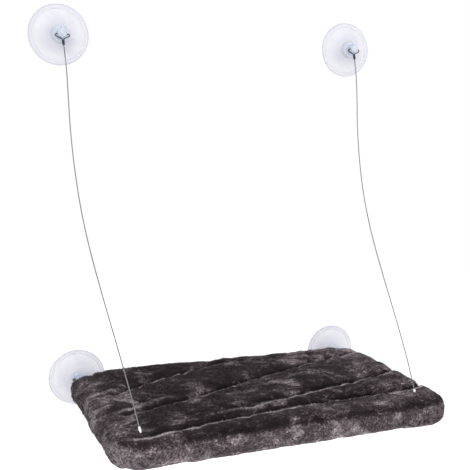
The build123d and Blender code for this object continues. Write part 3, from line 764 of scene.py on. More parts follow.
def rounded_outline(half_x: float, half_y: float, corner: float, pitch: float) -> tuple[Array, Array]:
    """Points at an even pitch round a round-cornered rectangle, and the direction at each.

    Args:
        half_x: half its length.
        half_y: half its width.
        corner: radius of its corners.
        pitch: distance from point to point, changed a little to close evenly.

    Returns:
        The points and their unit directions.
    """
    points_per_corner = 13
    turn = np.linspace(0.0, np.pi / 2.0, points_per_corner)
    arcs = []
    for quarter, signs in enumerate(((1, 1), (-1, 1), (-1, -1), (1, -1))):
        angle = turn + quarter * np.pi / 2.0
        middle = np.array(signs) * (half_x - corner, half_y - corner)
        arcs.append(middle + corner * np.column_stack([np.cos(angle), np.sin(angle)]))
    line = np.concatenate(arcs + [arcs[0][:1]])
    travelled = np.concatenate([[0.0], np.cumsum(np.hypot(*np.diff(line, axis=0).T))])
    count = round(travelled[-1] / pitch)
    spots = np.arange(count) * travelled[-1] / count
    points = np.stack([np.interp(spots, travelled, line[:, axis]) for axis in (0, 1)], axis=1)
    ahead = np.roll(points, -1, axis=0) - np.roll(points, 1, axis=0)
    return points, ahead / np.linalg.norm(ahead, axis=1, keepdims=True)


def fit_to_bed(piece: Piece, material: Material, replaced: str | None = None) -> None:
    """Gives a piece its finish, lets it ride on the bed and reports it.

    Args:
        piece: the piece.
        material: its finish.
        replaced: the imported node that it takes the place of.
    """
    piece.data.materials.append(material)
    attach(piece, "bed")
    if replaced:
        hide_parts(replaced)
    log.info("%s: %d faces", piece.name, len(piece.data.polygons))


# The room


@dataclass(frozen=True)
class Lamp:
    """A square soft box: its place, what it is turned to, its side in metres and its power in watts."""

    name: str
    place: Point
    aim: Point
    size: float
    power: float

    def hang(self) -> None:
        """Hangs the lamp, out of the camera's sight."""
        data = bpy.data.lights.new(self.name, "AREA")
        data.shape = "SQUARE"
        data.size = self.size
        data.energy = self.power
        lamp = bpy.data.objects.new(self.name, data)
        lamp.location = self.place
        lamp.visible_camera = False
        lamp.rotation_euler = (Vector(self.aim) - Vector(self.place)).to_track_quat("-Z", "Y").to_euler()
        bpy.context.scene.collection.objects.link(lamp)


@dataclass
class Studio:
    """Camera, soft lights, pale floor and white surroundings."""

    camera_place: Point = (-0.51197, -1.43720, 0.45304)
    azimuth: float = 24.178
    elevation: float = -9.441
    roll: float = 0.910
    sensor: float = 36.0
    lens: float = 64.179
    shift: Pair = (-0.0906, 0.0490)
    clip: Pair = (0.02, 30.0)
    floor_height: float = -0.42
    floor_reach: float = 9.0
    floor_glow: float = 0.50
    floor_tints: tuple[Colour, Colour] = ((0.80, 0.80, 0.80), (0.82, 0.82, 0.82))
    light_around: float = 0.62
    white: Colour = (1.0, 1.0, 1.0)
    lamps: tuple[Lamp, ...] = (
        Lamp("key", (-1.1, -2.3, 1.7), (0.0, -0.2, 0.2), 1.8, 26.0),
        Lamp("fill", (1.6, -1.7, 0.9), (0.0, -0.2, 0.2), 1.5, 10.0),
        Lamp("low", (-0.2, -2.2, -0.1), (0.0, -0.2, 0.0), 1.2, 8.0),
        Lamp("back", (0.9, 2.2, 1.3), (0.0, -0.1, 0.2), 1.6, 16.0),
        Lamp("window", (-0.05, 0.75, -0.12), (0.0, 0.0, -0.03), 0.8, 4.0),
    )

    def set_camera(self) -> None:
        """Places the camera as the photograph was taken."""
        turn, rise = math.radians(self.azimuth), math.radians(self.elevation)
        forward = Vector((math.sin(turn) * math.cos(rise), math.cos(turn) * math.cos(rise), math.sin(rise)))
        data = bpy.data.cameras.new("camera")
        data.sensor_width = self.sensor
        data.lens = self.lens
        data.shift_x, data.shift_y = self.shift
        data.clip_start, data.clip_end = self.clip
        camera = bpy.data.objects.new("camera", data)
        camera.location = self.camera_place
        camera.rotation_mode = "QUATERNION"
        level = forward.to_track_quat("-Z", "Y")
        camera.rotation_quaternion = level @ Quaternion((0.0, 0.0, 1.0), math.radians(self.roll))
        bpy.context.scene.collection.objects.link(camera)
        bpy.context.scene.camera = camera

    def set_surroundings(self) -> None:
        """White to the camera, in reflections and through clear pieces, and plain grey as a light."""
        world = bpy.data.worlds.new("surroundings")
        bpy.context.scene.world = world
        world.use_nodes = True
        nodes = NodeTree(world.node_tree)
        strength = nodes.add("MapRange", Value=nodes.seen(), To_Min=self.light_around, To_Max=1.0)
        background = nodes.add("Background", Color=self.white, Strength=strength.outputs["Result"])
        nodes.add("OutputWorld", Surface=background.outputs[0])

    def lay_floor(self) -> None:
        """Lays a pale floor below the perch, brightened for the eye only so that it keeps its shadow."""
        signs = np.array([(-1, -1), (1, -1), (1, 1), (-1, 1)])
        corners = np.column_stack([signs * self.floor_reach, np.full(len(signs), self.floor_height)])
        floor = solid_object("floor", corners, [(0, 1, 2, 3)])
        shader = Shader("floor")
        speckle = shader.noise(shader.coordinates(), scale=3.0, detail=2.0)
        shader.set(
            Base_Color=shader.blend(speckle, *self.floor_tints),
            Roughness=0.9,
            Specular_IOR_Level=0.0,
            Emission_Color=self.white,
            Emission_Strength=shader.sum("MULTIPLY", shader.seen(), self.floor_glow),
        )
        floor.data.materials.append(shader.material)

    def build(self) -> None:
        """Sets the whole room."""
        self.set_camera()
        for lamp in self.lamps:
            lamp.hang()
        self.set_surroundings()
        self.lay_floor()
        bpy.context.scene.view_settings.view_transform = "Standard"
        log.info("room: camera, %d lamps, floor", len(self.lamps))


# Suspension wires

WIRE_ROUTE = (
    (-0.2652, -0.0400, 0.5640),
    (-0.2639, -0.0515, 0.5328),
    (-0.2634, -0.0575, 0.4900),
    (-0.2628, -0.0620, 0.4470),
    (-0.2617, -0.0710, 0.4030),
    (-0.2599, -0.0850, 0.3590),
    (-0.2576, -0.1040, 0.3150),
    (-0.2544, -0.1300, 0.2720),
    (-0.2505, -0.1610, 0.2310),
    (-0.2463, -0.1950, 0.1920),
    (-0.2421, -0.2290, 0.1550),
    (-0.2379, -0.2620, 0.1190),
    (-0.2339, -0.2930, 0.0840),
    (-0.2302, -0.3195, 0.0520),
    (-0.2274, -0.3385, 0.0240),
)


@dataclass
class Suspension:
    """The two slack steel ropes from the upper cups to the front corners."""

    diameter: float = 0.0018
    length: float = 0.6343
    strands: int = 6
    points_per_strand: int = 4
    lay: float = 0.013
    steps: int = 48
    path_stride: int = 6

    def centreline(self, side: Side) -> Array:
        """Reads a rope's points from the route's own spline.

        Args:
            side: which rope it is.

        Returns:
            The points from the cup down.
        """
        data = bpy.data.curves.new("route", "CURVE")
        data.dimensions = "3D"
        spline = data.splines.new("NURBS")
        spline.points.add(len(WIRE_ROUTE) - 1)
        route = np.array([(-side.value * x, y, z, 1.0) for x, y, z in WIRE_ROUTE])
        spline.points.foreach_set("co", route.ravel())
        spline.order_u = 3
        spline.use_endpoint_u = True
        spline.resolution_u = self.steps
        guide = bpy.data.objects.new("route", data)
        bpy.context.scene.collection.objects.link(guide)
        bpy.context.view_layer.update()
        mesh = bpy.data.meshes.new_from_object(guide.evaluated_get(bpy.context.evaluated_depsgraph_get()))
        points = read(mesh.vertices, "co", 3)
        bpy.data.objects.remove(guide)
        bpy.data.meshes.remove(mesh)
        return points

    def rope(self, side: Side, points: Array, along: Array) -> Piece:
        """Carries a strand-lobed profile along the rope.

        The profile is the outline of equal round strands laid in a ring round the axis, and turns once in
        every lay length along it. Its two axes stay square to the rope and level with the sill.

        Args:
            side: which rope it is.
            points: the line that it follows.
            along: distance along the line to each point.

        Returns:
            The rope.
        """
        run = np.gradient(points, axis=0)
        run /= np.linalg.norm(run, axis=1, keepdims=True)
        sill = np.array([1.0, 0.0, 0.0])
        level = sill - run * run[:, :1]
        level /= np.linalg.norm(level, axis=1, keepdims=True)
        square = np.cross(run, level)
        count = self.strands * self.points_per_strand
        angle = np.arange(count) * 2.0 * np.pi / count
        off_strand = (angle * self.strands / (2.0 * np.pi) + 0.5) % 1.0 - 0.5
        turn = off_strand * 2.0 * np.pi / self.strands
        strand = self.diameter / 6.0
        ring = self.diameter / 3.0
        radius = ring * np.cos(turn) + np.sqrt(np.maximum(strand**2 - (ring * np.sin(turn)) ** 2, 0.0))
        twist = angle[None, :] + 2.0 * np.pi * along[:, None] / self.lay
        shell = (
            points[:, None, :]
            + level[:, None, :] * (radius * np.cos(twist))[..., None]
            + square[:, None, :] * (radius * np.sin(twist))[..., None]
        )
        return closed_tube(f"rope_{side.word}", shell)

    def build(self, steel: Material) -> None:
        """Args:
            steel: their finish.
        """
        for side in Side:
            points = self.centreline(side)
            along = np.concatenate([[0.0], np.cumsum(np.linalg.norm(np.diff(points, axis=0), axis=1))])
            piece = self.rope(side, points, along)
            piece.data.materials.append(steel)
            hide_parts(f"wire_{side.word}")
            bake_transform(piece)
            log.info("%s: %.4f m, %d faces", piece.name, along[-1], len(piece.data.polygons))


# The bed

CREASE_STATIONS = (-1.0, -0.8, -0.5, -0.2, 0.1, 0.5, 1.0)


@dataclass(frozen=True)
class Crease:
    """A sewn crease across the bed, by its places and depths at the stations from the left end to the right.

    A station is a share of the half width from the middle, a place a share of the bed's depth behind, and a
    depth a share of the full crease depth.
    """

    places: tuple[float, ...]
    depths: tuple[float, ...]

    def place(self, station: Array) -> Array:
        """Share of the bed's depth behind the rear edge: the cubic that passes nearest the given places."""
        return np.polynomial.Polynomial.fit(CREASE_STATIONS, self.places, 3)(station)

    def depth(self, station: Array) -> Array:
        """Share of the full crease depth, eased from one given depth to the next.

        Args:
            station: where it is wanted.

        Returns:
            The share at each station.
        """
        position = np.interp(station, CREASE_STATIONS, np.arange(len(CREASE_STATIONS)))
        low = np.minimum(position.astype(int), len(CREASE_STATIONS) - 2)
        values = np.array(self.depths)
        return values[low] + (values[low + 1] - values[low]) * smooth_step(position - low)


@dataclass(frozen=True)
class Wrinkle:
    """A short soft fold between two points of the bed's top."""

    start: Pair
    end: Pair
    depth: float
    reach: float
    fade: float = 0.3

    def away(self, x: Array, y: Array) -> tuple[Array, Array]:
        """Measures places against the fold.

        Args:
            x: places along the width.
            y: places along the depth.

        Returns:
            Signed distance across the fold, and how much of it is left there.
        """
        along = np.array(self.end) - np.array(self.start)
        length = float(np.hypot(*along))
        along = along / length
        off_x, off_y = x - self.start[0], y - self.start[1]
        share = (off_x * along[0] + off_y * along[1]) / length
        across = off_y * along[0] - off_x * along[1]
        return across, smooth_step(share / self.fade) * smooth_step((1.0 - share) / self.fade)


@dataclass
class PlushCover:
    """Padded cover: two sheets that meet round the bed's edge, sewn down along four slanting creases."""

    half_width: float = 0.2725
    rear: float = -0.038
    front: float = -0.390
    top: float = 0.0225
    bottom: float = -0.0230
    waist: float = -0.003
    front_corner: float = 0.050
    rear_corner: float = 0.028
    end_roll: float = 0.024
    front_roll: float = 0.024
    front_power: float = 2.3
    rear_roll: float = 0.019
    shoulder_share: float = 0.9
    rolls_below: Point = (0.010, 0.010, 0.014)
    crown: float = 0.003
    pillow: float = 0.0036
    pillow_reach: float = 0.020
    crease_depth: float = 0.0105
    crease_reach: float = 0.0060
    crease_power: float = 1.2
    notch_x: float = 0.250
    notch_half_width: float = 0.0158
    notch_flank: float = 0.0036
    notch_floor: float = -0.0545
    sewn_past_notch: Pair = (0.006, 0.012)
    sewn_depth: float = 0.5
    panel_inset: float = 0.016
    panel_rear_inset: float = 0.023
    panel_corner: float = 0.030
    panel_ramp: float = 0.004
    recess: float = -0.0209
    creases: tuple[Crease, ...] = (
        Crease((0.48, 0.39, 0.26, 0.12, 0.07, 0.07, 0.09), (0.0, 0.75, 1.0, 0.8, 0.25, 0.15, 0.3)),
        Crease((0.675, 0.645, 0.575, 0.47, 0.37, 0.26, 0.145), (0.0, 0.55, 0.9, 1.0, 1.0, 1.0, 0.8)),
        Crease((0.80, 0.79, 0.775, 0.745, 0.70, 0.61, 0.515), (0.0, 0.0, 0.12, 0.40, 0.85, 1.0, 0.9)),
        Crease((0.92, 0.895, 0.875, 0.835, 0.805, 0.80, 0.775), (0.0, 0.8, 1.0, 1.0, 1.0, 1.0, 0.8)),
    )
    wrinkles: tuple[Wrinkle, ...] = (
        Wrinkle((-0.262, -0.262), (-0.150, -0.212), 0.0045, 0.0050),
        Wrinkle((0.205, -0.160), (0.285, -0.172), 0.0045, 0.0050),
        Wrinkle((-0.020, -0.060), (0.040, -0.125), 0.0022, 0.0050),
        Wrinkle((0.010, -0.052), (0.062, -0.100), 0.0018, 0.0045),
        Wrinkle((0.120, -0.062), (0.165, -0.088), 0.0020, 0.0045),
        Wrinkle((-0.190, -0.110), (-0.120, -0.075), 0.0016, 0.0060),
        Wrinkle((0.060, -0.215), (0.130, -0.235), 0.0016, 0.0050),
        Wrinkle((-0.120, -0.300), (-0.020, -0.305), 0.0014, 0.0060),
        Wrinkle((-0.268, -0.120), (-0.215, -0.095), 0.0020, 0.0055),
        Wrinkle((0.180, -0.350), (0.235, -0.335), 0.0018, 0.0060),
    )
    rows: tuple[int, ...] = (9, 13, 17, 18, 14, 18)
    bunching: Pair = (0.45, 0.55)
    end_steps: tuple[float, ...] = (
        0.0, 0.0005, 0.0018, 0.0036, 0.0050, 0.0063, 0.0078, 0.0095, 0.013, 0.016,
        0.0195, 0.023, 0.0265, 0.030, 0.033, 0.0357, 0.0372, 0.0388, 0.041, 0.045,
    )
    middle_stations: int = 84
    cap: float = 0.0032
    frames: int = 20

    def stations(self) -> Array:
        """Lays out the width: close together round the ends and the notches, even between them.

        Returns:
            Places along the width.
        """
        left = -self.half_width + np.array(self.end_steps)
        middle = np.linspace(left[-1], -left[-1], self.middle_stations + 2)[1:-1]
        return np.concatenate([left, middle, -left[::-1]])

    def setback(self, radius: float, x: Array) -> Array:
        """How far a quarter circle at each end draws the edge in."""
        past = np.clip(np.abs(x) - (self.half_width - radius), 0.0, radius)
        return radius - np.sqrt(radius**2 - past**2)

    def whole_edges(self, x: Array) -> tuple[Array, Array]:
        """The rear and front edge at each place, without the notches."""
        return self.rear - self.setback(self.rear_corner, x), self.front + self.setback(self.front_corner, x)

    def edges(self, x: Array) -> tuple[Array, Array]:
        """Lays out the rear and front edge, the rear one with its two notches.

        Args:
            x: places along the width.

        Returns:
            The y of both edges at each place.
        """
        rear, front = self.whole_edges(x)
        inside = self.notch_half_width + self.notch_flank / 2.0 - np.abs(np.abs(x) - self.notch_x)
        share = smooth_step(inside / self.notch_flank)
        return rear + (np.minimum(rear, self.notch_floor) - rear) * share, front

    def plan(self, x: Array) -> tuple[Array, Array, Array]:
        """Lays out the grid: for each station the rows from the rear edge to the front one.

        Rows bunch at the edges and at the creases, by a cosine between two of these.

        Args:
            x: the stations.

        Returns:
            The rows' y, the creases' y and the share of each crease's depth, all by station.
        """
        rear, front = self.edges(x)
        full_rear = self.whole_edges(x)[0]
        station = x / self.half_width
        creases = np.stack([full_rear - c.place(station) * (full_rear - front) for c in self.creases], axis=1)
        shares = np.stack([c.depth(station) for c in self.creases], axis=1)
        shoulder = np.maximum(rear - self.rear_roll * self.shoulder_share, (rear + creases[:, 0]) / 2.0)
        stops = np.column_stack([rear, shoulder, creases, front])
        pieces = []
        for index, count in enumerate(self.rows):
            even = np.arange(count) / count
            eased = (1.0 - np.cos(np.pi * even)) / 2.0
            if index == 0:
                even = eased = 1.0 - np.cos(np.pi / 2.0 * even)
            if index == len(self.rows) - 1:
                even = eased = np.sin(np.pi / 2.0 * even)
            share = self.bunching[0] * even + self.bunching[1] * eased
            pieces.append(stops[:, index, None] + (stops[:, index + 1] - stops[:, index])[:, None] * share)
        return np.concatenate(pieces + [front[:, None]], axis=1), creases, shares

    def fall(self, x: Array, y: Array, rolls: Point, front_power: float = 2.0) -> Array:
        """Falls from 1 over the middle of the bed to 0 at its edges, by quarter superellipses.

        Args:
            x: the stations.
            y: the rows at each station.
            rolls: how far in the rear edge, the front edge and the ends reach.
            front_power: power of the front's superellipse.

        Returns:
            The product of the three.
        """
        rear, front = self.edges(x)
        edge = fullness(rear[:, None] - y, rolls[0]) * fullness(y - front[:, None], rolls[1], front_power)
        return edge * fullness(self.half_width - np.abs(x), rolls[2])[:, None]

    def upper(self, x: Array, y: Array, creases: Array, shares: Array) -> Array:
        """Height of the top sheet.

        A low crown over the depth, lifted between the creases and drawn down into each one by a bell that
        falls off within a few millimetres, all brought to the waist at the edges by quarter superellipses.

        Args:
            x: the stations.
            y: the rows at each station.
            creases: the creases' y at each station.
            shares: the share of each crease's depth there.

        Returns:
            The z of each point.
        """
        from_middle = 2.0 * (self.rear - y) / (self.rear - self.front) - 1.0
        off = np.abs(y[:, :, None] - creases[:, None, :])
        nearest = np.min(off + (1.0 - shares)[:, None, :] * self.pillow_reach, axis=2)
        lift = self.pillow * fullness(nearest, self.pillow_reach)
        bells = shares[:, None, :] * np.exp(-((off / self.crease_reach) ** self.crease_power))
        drawn = self.crease_depth * bells.sum(axis=2)
        for fold in self.wrinkles:
            across, left = fold.away(x[:, None], y)
            drawn = drawn + fold.depth * left * bell(across, 0.0, fold.reach)
        height = self.top - self.pillow - self.crown * from_middle**2 + lift - drawn
        rolls = (self.rear_roll, self.front_roll, self.end_roll)
        return self.waist + (height - self.waist) * self.fall(x, y, rolls, self.front_power)

    def lower(self, x: Array, y: Array) -> Array:
        """Height of the bottom sheet: flat, with a shallow recess where the base panel lies."""
        z = self.waist + (self.bottom - self.waist) * self.fall(x, y, self.rolls_below)
        return z + (self.recess - self.bottom) * self.in_panel(x[:, None], y)

    def in_panel(self, x: Array, y: Array) -> Array:
        """Marks the base panel's rounded outline.

        Args:
            x: places along the width.
            y: places along the depth.

        Returns:
            1 inside the outline, 0 outside it, with a ramp of a few millimetres.
        """
        near, far = self.rear - self.panel_rear_inset, self.front + self.panel_inset
        half_x, half_y = self.half_width - self.panel_inset, (near - far) / 2.0
        inside = inside_rounded(x, y - (near + far) / 2.0, half_x, half_y, self.panel_corner)
        return smooth_step(inside / self.panel_ramp + 0.5)

    def shell(self) -> Piece:
        """Joins the two sheets into one closed form, and notes what is sewn.

        Returns:
            The cover.
        """
        x = self.stations()
        y, creases, shares = self.plan(x)
        heights = [self.upper(x, y, creases, shares), self.lower(x, y)]
        piece, used = joined_sheets("plush_bed", x, y, heights)
        sewn = np.zeros((2, *y.shape))
        for row, depth in zip(np.cumsum(self.rows)[1:-1], shares.T):
            sewn[0, :, row] = smooth_step(depth / self.sewn_depth)
        sewn[1] = self.in_panel(x[:, None], y)
        beside, ahead = self.sewn_past_notch
        near_notch = np.abs(np.abs(x[:, None]) - self.notch_x) < self.notch_half_width + beside
        sewn = np.maximum(sewn, near_notch & (y > self.notch_floor - ahead))
        group = piece.vertex_groups.new(name="sewn")
        weights = np.round(sewn.ravel()[used], 2)
        for level in np.unique(weights[weights > 0.0]):
            group.add(np.flatnonzero(weights == level).tolist(), float(level), "REPLACE")
        return piece

    def fill(self, piece: Piece) -> None:
        """Fills the cover by a cloth simulation and keeps a limited share of how far each point moved.

        The share is a hyperbolic tangent of the distance in caps, so no point moves further than the cap.

        Args:
            piece: the cover.
        """
        before = read(piece.data.vertices, "co", 3)
        modifier = piece.modifiers.new("fill", "CLOTH")
        cloth = modifier.settings
        cloth.quality = 5
        cloth.mass = 0.25
        cloth.tension_stiffness = cloth.compression_stiffness = 12.0
        cloth.shear_stiffness = 4.0
        cloth.bending_stiffness = 0.6
        cloth.shrink_min = -0.03
        cloth.use_pressure = True
        cloth.uniform_pressure_force = 3.0
        cloth.vertex_group_mass = "sewn"
        cloth.pin_stiffness = 1.0
        cloth.effector_weights.gravity = 0.0
        modifier.point_cache.frame_start = 1
        modifier.point_cache.frame_end = self.frames
        scene = bpy.context.scene
        for number in range(1, self.frames + 1):
            scene.frame_set(number)
        evaluated = piece.evaluated_get(bpy.context.evaluated_depsgraph_get())
        move = read(evaluated.data.vertices, "co", 3) - before
        piece.modifiers.remove(modifier)
        scene.frame_set(1)
        far = np.linalg.norm(move, axis=1, keepdims=True)
        limited = move * (self.cap * np.tanh(far / self.cap) / np.maximum(far, 1e-9))
        piece.data.vertices.foreach_set("co", (before + limited).ravel())
        piece.data.update()
        log.info("fill moved points by %.1f mm, %.1f mm at most", far.mean() * 1e3, far.max() * 1e3)

    def build(self, plush: Material) -> Piece:
        """Makes, fills, marks and dresses the cover.

        Args:
            plush: its finish.

        Returns:
            The cover.
        """
        piece = self.shell()
        self.fill(piece)
        PileLie().mark(self, piece)
        finer = piece.modifiers.new("finer", "SUBSURF")
        finer.levels = finer.render_levels = 1
        fit_to_bed(piece, plush, "plush_cover")
        return piece


@dataclass(frozen=True)
class PileLie:
    """How the cover's pile lies: a painted highlight on each crest, painted shade in each valley, and how far
    it stands up, with painted light on the front face.

    A crest or valley is a middle and a reach ahead of a crease or fold. A zone of the bed is the two ends of
    a ramp, and what stands in it is a share of the whole.
    """

    top_above: float = 0.004
    # a painted highlight on each crest, painted shade in each valley
    crest: Pair = (0.0136, 0.0030)
    valley: Pair = (-0.0025, 0.0045)
    fold_crest: Pair = (0.0095, 0.0036)
    fold_valley: Pair = (0.0, 0.0035)
    # zones of painted light and shade on the front face, its shoulder and its roll
    front_zone: Pair = (0.034, 0.012)
    face_heights: Pair = (0.0165, 0.0065)
    shoulder_height: Pair = (0.0150, 0.0045)
    end_zone: Pair = (0.045, 0.005)
    left_zone: Pair = (-0.17, -0.25)
    right_zone: Pair = (0.10, 0.21)
    toward_right_zone: Pair = (-0.06, 0.10)
    roll_zone: Pair = (0.052, 0.042)
    roll_heights: Pair = (0.016, 0.022)
    everywhere: float = 0.020
    face: float = 0.255
    ends: float = 0.12
    left: float = 0.09
    right: float = 0.14
    shoulder: Pair = (-0.08, 0.05)
    roll: Pair = (0.05, 0.12)

    def creased(self, cover: PlushCover, points: Array) -> tuple[Array, Array]:
        """Finds the crests and valleys along the creases and folds.

        Args:
            cover: the cover's sizes.
            points: the vertices.

        Returns:
            How much each vertex lies on a crest, and how much in a valley.
        """
        x, y, z = points.T
        rear, front = cover.whole_edges(x)
        lit = np.zeros(len(points))
        valley_shade = np.zeros(len(points))
        for crease in cover.creases:
            share = crease.depth(x / cover.half_width)
            ahead = rear - crease.place(x / cover.half_width) * (rear - front) - y
            # painted highlight on the crest ahead of each crease
            lit = np.maximum(lit, share * bell(ahead, *self.crest))
            # painted shade in the valley behind each crease
            valley_shade = np.maximum(valley_shade, share * bell(ahead, *self.valley))
        for fold in cover.wrinkles:
            across, left = fold.away(x, y)
            share = left * fold.depth / cover.crease_depth
            # painted highlight on the crest of each fold
            lit = np.maximum(lit, share * bell(-across, *self.fold_crest))
            # painted shade in the valley of each fold
            valley_shade = np.maximum(valley_shade, share * bell(across, *self.fold_valley))
        on_top = z > self.top_above
        return lit * on_top, valley_shade * on_top

    def stand_and_painted_light(self, cover: PlushCover, points: Array) -> Array:
        """Share of the pile that stands: most on the front face and the ends, least on the top. Partly
        painted light: the front face, the shoulder above it and its roll are lighter or darker by how light
        falls there.

        Args:
            cover: the cover's sizes.
            points: the vertices.

        Returns:
            The sum of what stands in each zone.
        """
        x, y, z = points.T
        behind_front = y - cover.whole_edges(x)[1]
        near_front = ramp(behind_front, self.front_zone)
        toward_right = ramp(x, self.toward_right_zone)
        shoulder = near_front * bell(z, *self.shoulder_height)
        roll = ramp(behind_front, self.roll_zone) * ramp(z, self.roll_heights)
        return (
            self.everywhere
            + self.face * near_front * ramp(z, self.face_heights)
            + self.ends * ramp(cover.half_width - np.abs(x), self.end_zone)
            + self.left * ramp(x, self.left_zone)
            + self.right * ramp(x, self.right_zone) * (1.0 - near_front)
            + (self.shoulder[0] + self.shoulder[1] * toward_right) * shoulder
            + (self.roll[0] + self.roll[1] * toward_right) * roll
        )

    def mark(self, cover: PlushCover, piece: Piece) -> None:
        """Keeps all three on the finished cover.

        Args:
            cover: the cover's sizes.
            piece: the cover.
        """
        points = read(piece.data.vertices, "co", 3)
        lit, valley_shade = self.creased(cover, points)
        store_value(piece.data, "lit_edge", lit)
        store_value(piece.data, "valley", valley_shade)
        store_value(piece.data, "stand_and_lit", self.stand_and_painted_light(cover, points))


@dataclass
class Nap:
    """The tufts that stand up from the plush, as slim closed spikes that lean with the lie of the pile."""

    top_count: int = 49000
    side_count: int = 45000
    length: float = 0.0046
    width: float = 0.0011
    sunk: float = 0.0010
    lean: float = 62.0
    lean_spread: float = 9.0
    lengths: Pair = (0.65, 1.15)
    widths: Pair = (0.75, 1.25)
    forward: float = -1.9
    dip: float = -0.35
    waves: int = 14
    wave_numbers: Point = (38.0, 48.0, 30.0)
    swing: float = 0.42
    own_turn: float = 0.30
    root_share: float = 0.6
    tip_lift: float = 0.5
    tip_marks: tuple[float, ...] = (0.0, 0.0, 0.15, 1.0)
    seed: int = 11
    top_rise: float = 0.75
    under_rise: float = -0.45
    bare_x: float = 0.250
    bare_half_width: float = 0.022
    bare_front: float = -0.060

    def surface(self, cover: Piece) -> tuple[Array, Array, dict[str, Array]]:
        """Reads the finished cover.

        Args:
            cover: the cover.

        Returns:
            The corners of its triangles, the normals there and the marks there.
        """
        evaluated = cover.evaluated_get(bpy.context.evaluated_depsgraph_get())
        mesh = evaluated.to_mesh()
        mesh.calc_loop_triangles()
        corners = read(mesh.loop_triangles, "vertices", 3, int)
        points, normals = (read(mesh.vertices, key, 3)[corners] for key in ("co", "normal"))
        # the painted highlight, painted shade and painted light marks, carried on to the tufts
        names = ("lit_edge", "valley", "stand_and_lit")
        found = points, normals, {name: read(mesh.attributes[name].data, "value")[corners] for name in names}
        evaluated.to_mesh_clear()
        return found

    def lie(self, points: Array, chance: np.random.Generator) -> Array:
        """Direction in which the pile lies: forward, swung about by the sum of some slow sine waves.

        Args:
            points: where the tufts stand.
            chance: source of the waves and of each tuft's own turn.

        Returns:
            One direction for each tuft.
        """
        waves = chance.normal(size=(self.waves, 3)) * np.array(self.wave_numbers)
        phases = chance.uniform(0.0, 2.0 * np.pi, self.waves)
        swing = np.sin(points @ waves.T + phases).sum(axis=1) * self.swing
        spread = chance.normal(size=len(points)) * self.own_turn
        angle = self.forward + swing + spread
        return np.stack([np.cos(angle), np.sin(angle), np.full(len(points), self.dip)], axis=1)

    def tufts(self, name: str, count: int, chosen: Array, found: tuple) -> Piece:
        """Plants spikes on some of the cover's triangles.

        Each spike has a triangle for its root, sunk a little, and one tip. It stands on a point picked evenly
        by area, and leans from the surface's normal toward the pile's lie there.

        Args:
            name: the piece's name.
            count: number of spikes.
            chosen: which triangles they stand on.
            found: the cover's surface.

        Returns:
            The piece.
        """
        chance = np.random.default_rng(self.seed)
        corners, normals, marks = found
        corners, normals = corners[chosen], normals[chosen]
        area = np.linalg.norm(np.cross(corners[:, 1] - corners[:, 0], corners[:, 2] - corners[:, 0]), axis=1)
        pick = np.searchsorted(np.cumsum(area) / area.sum(), chance.random(count))
        share = chance.dirichlet((1.0, 1.0, 1.0), count)
        root = (corners[pick] * share[:, :, None]).sum(axis=1)
        normal = (normals[pick] * share[:, :, None]).sum(axis=1)
        normal /= np.linalg.norm(normal, axis=1, keepdims=True)
        lie = self.lie(root, chance)
        lie -= normal * (lie * normal).sum(axis=1, keepdims=True)
        lie /= np.linalg.norm(lie, axis=1, keepdims=True)
        lean = np.radians(self.lean + chance.normal(size=count) * self.lean_spread)[:, None]
        axis = normal * np.cos(lean) + lie * np.sin(lean)
        side = np.cross(axis, normal)
        side /= np.linalg.norm(side, axis=1, keepdims=True)
        over = np.cross(side, axis)
        length = self.length * chance.uniform(*self.lengths, count)[:, None]
        width = self.width * chance.uniform(*self.widths, count)[:, None]
        start = root - normal * self.sunk
        points = np.stack(
            [
                start - side * width / 2.0,
                start + side * width / 2.0,
                start + over * width * self.root_share,
                start + axis * length + normal * self.sunk * self.tip_lift,
            ],
            axis=1,
        )
        faces = np.array([(1, 0, 3), (2, 1, 3), (0, 2, 3), (0, 1, 2)])
        every = (np.arange(count)[:, None, None] * 4 + faces[None]).reshape(-1, 3)
        piece = solid_object(name, points.reshape(-1, 3), every.tolist())
        for mark, values in marks.items():
            store_value(piece.data, mark, np.repeat((values[chosen][pick] * share).sum(axis=1), 4))
        store_value(piece.data, "tip", np.tile(self.tip_marks, count))
        store_value(piece.data, "shade", np.repeat(chance.random(count), 4))
        return piece

    def build(self, cover: Piece, plush: Material) -> None:
        """Plants the tufts of the top and of the sides, none in the notches for the hinges.

        Args:
            cover: what they stand on.
            plush: their finish.
        """
        found = self.surface(cover)
        middle = found[0].mean(axis=1)
        rise = found[1].mean(axis=1)[:, 2]
        beside = np.abs(np.abs(middle[:, 0]) - self.bare_x) < self.bare_half_width
        planted = ~(beside & (middle[:, 1] > self.bare_front))
        top = rise > self.top_rise
        sides = ~top & (rise > self.under_rise)
        for name, count, chosen in (("nap_top", self.top_count, top), ("nap_sides", self.side_count, sides)):
            fit_to_bed(self.tufts(name, count, chosen & planted, found), plush)


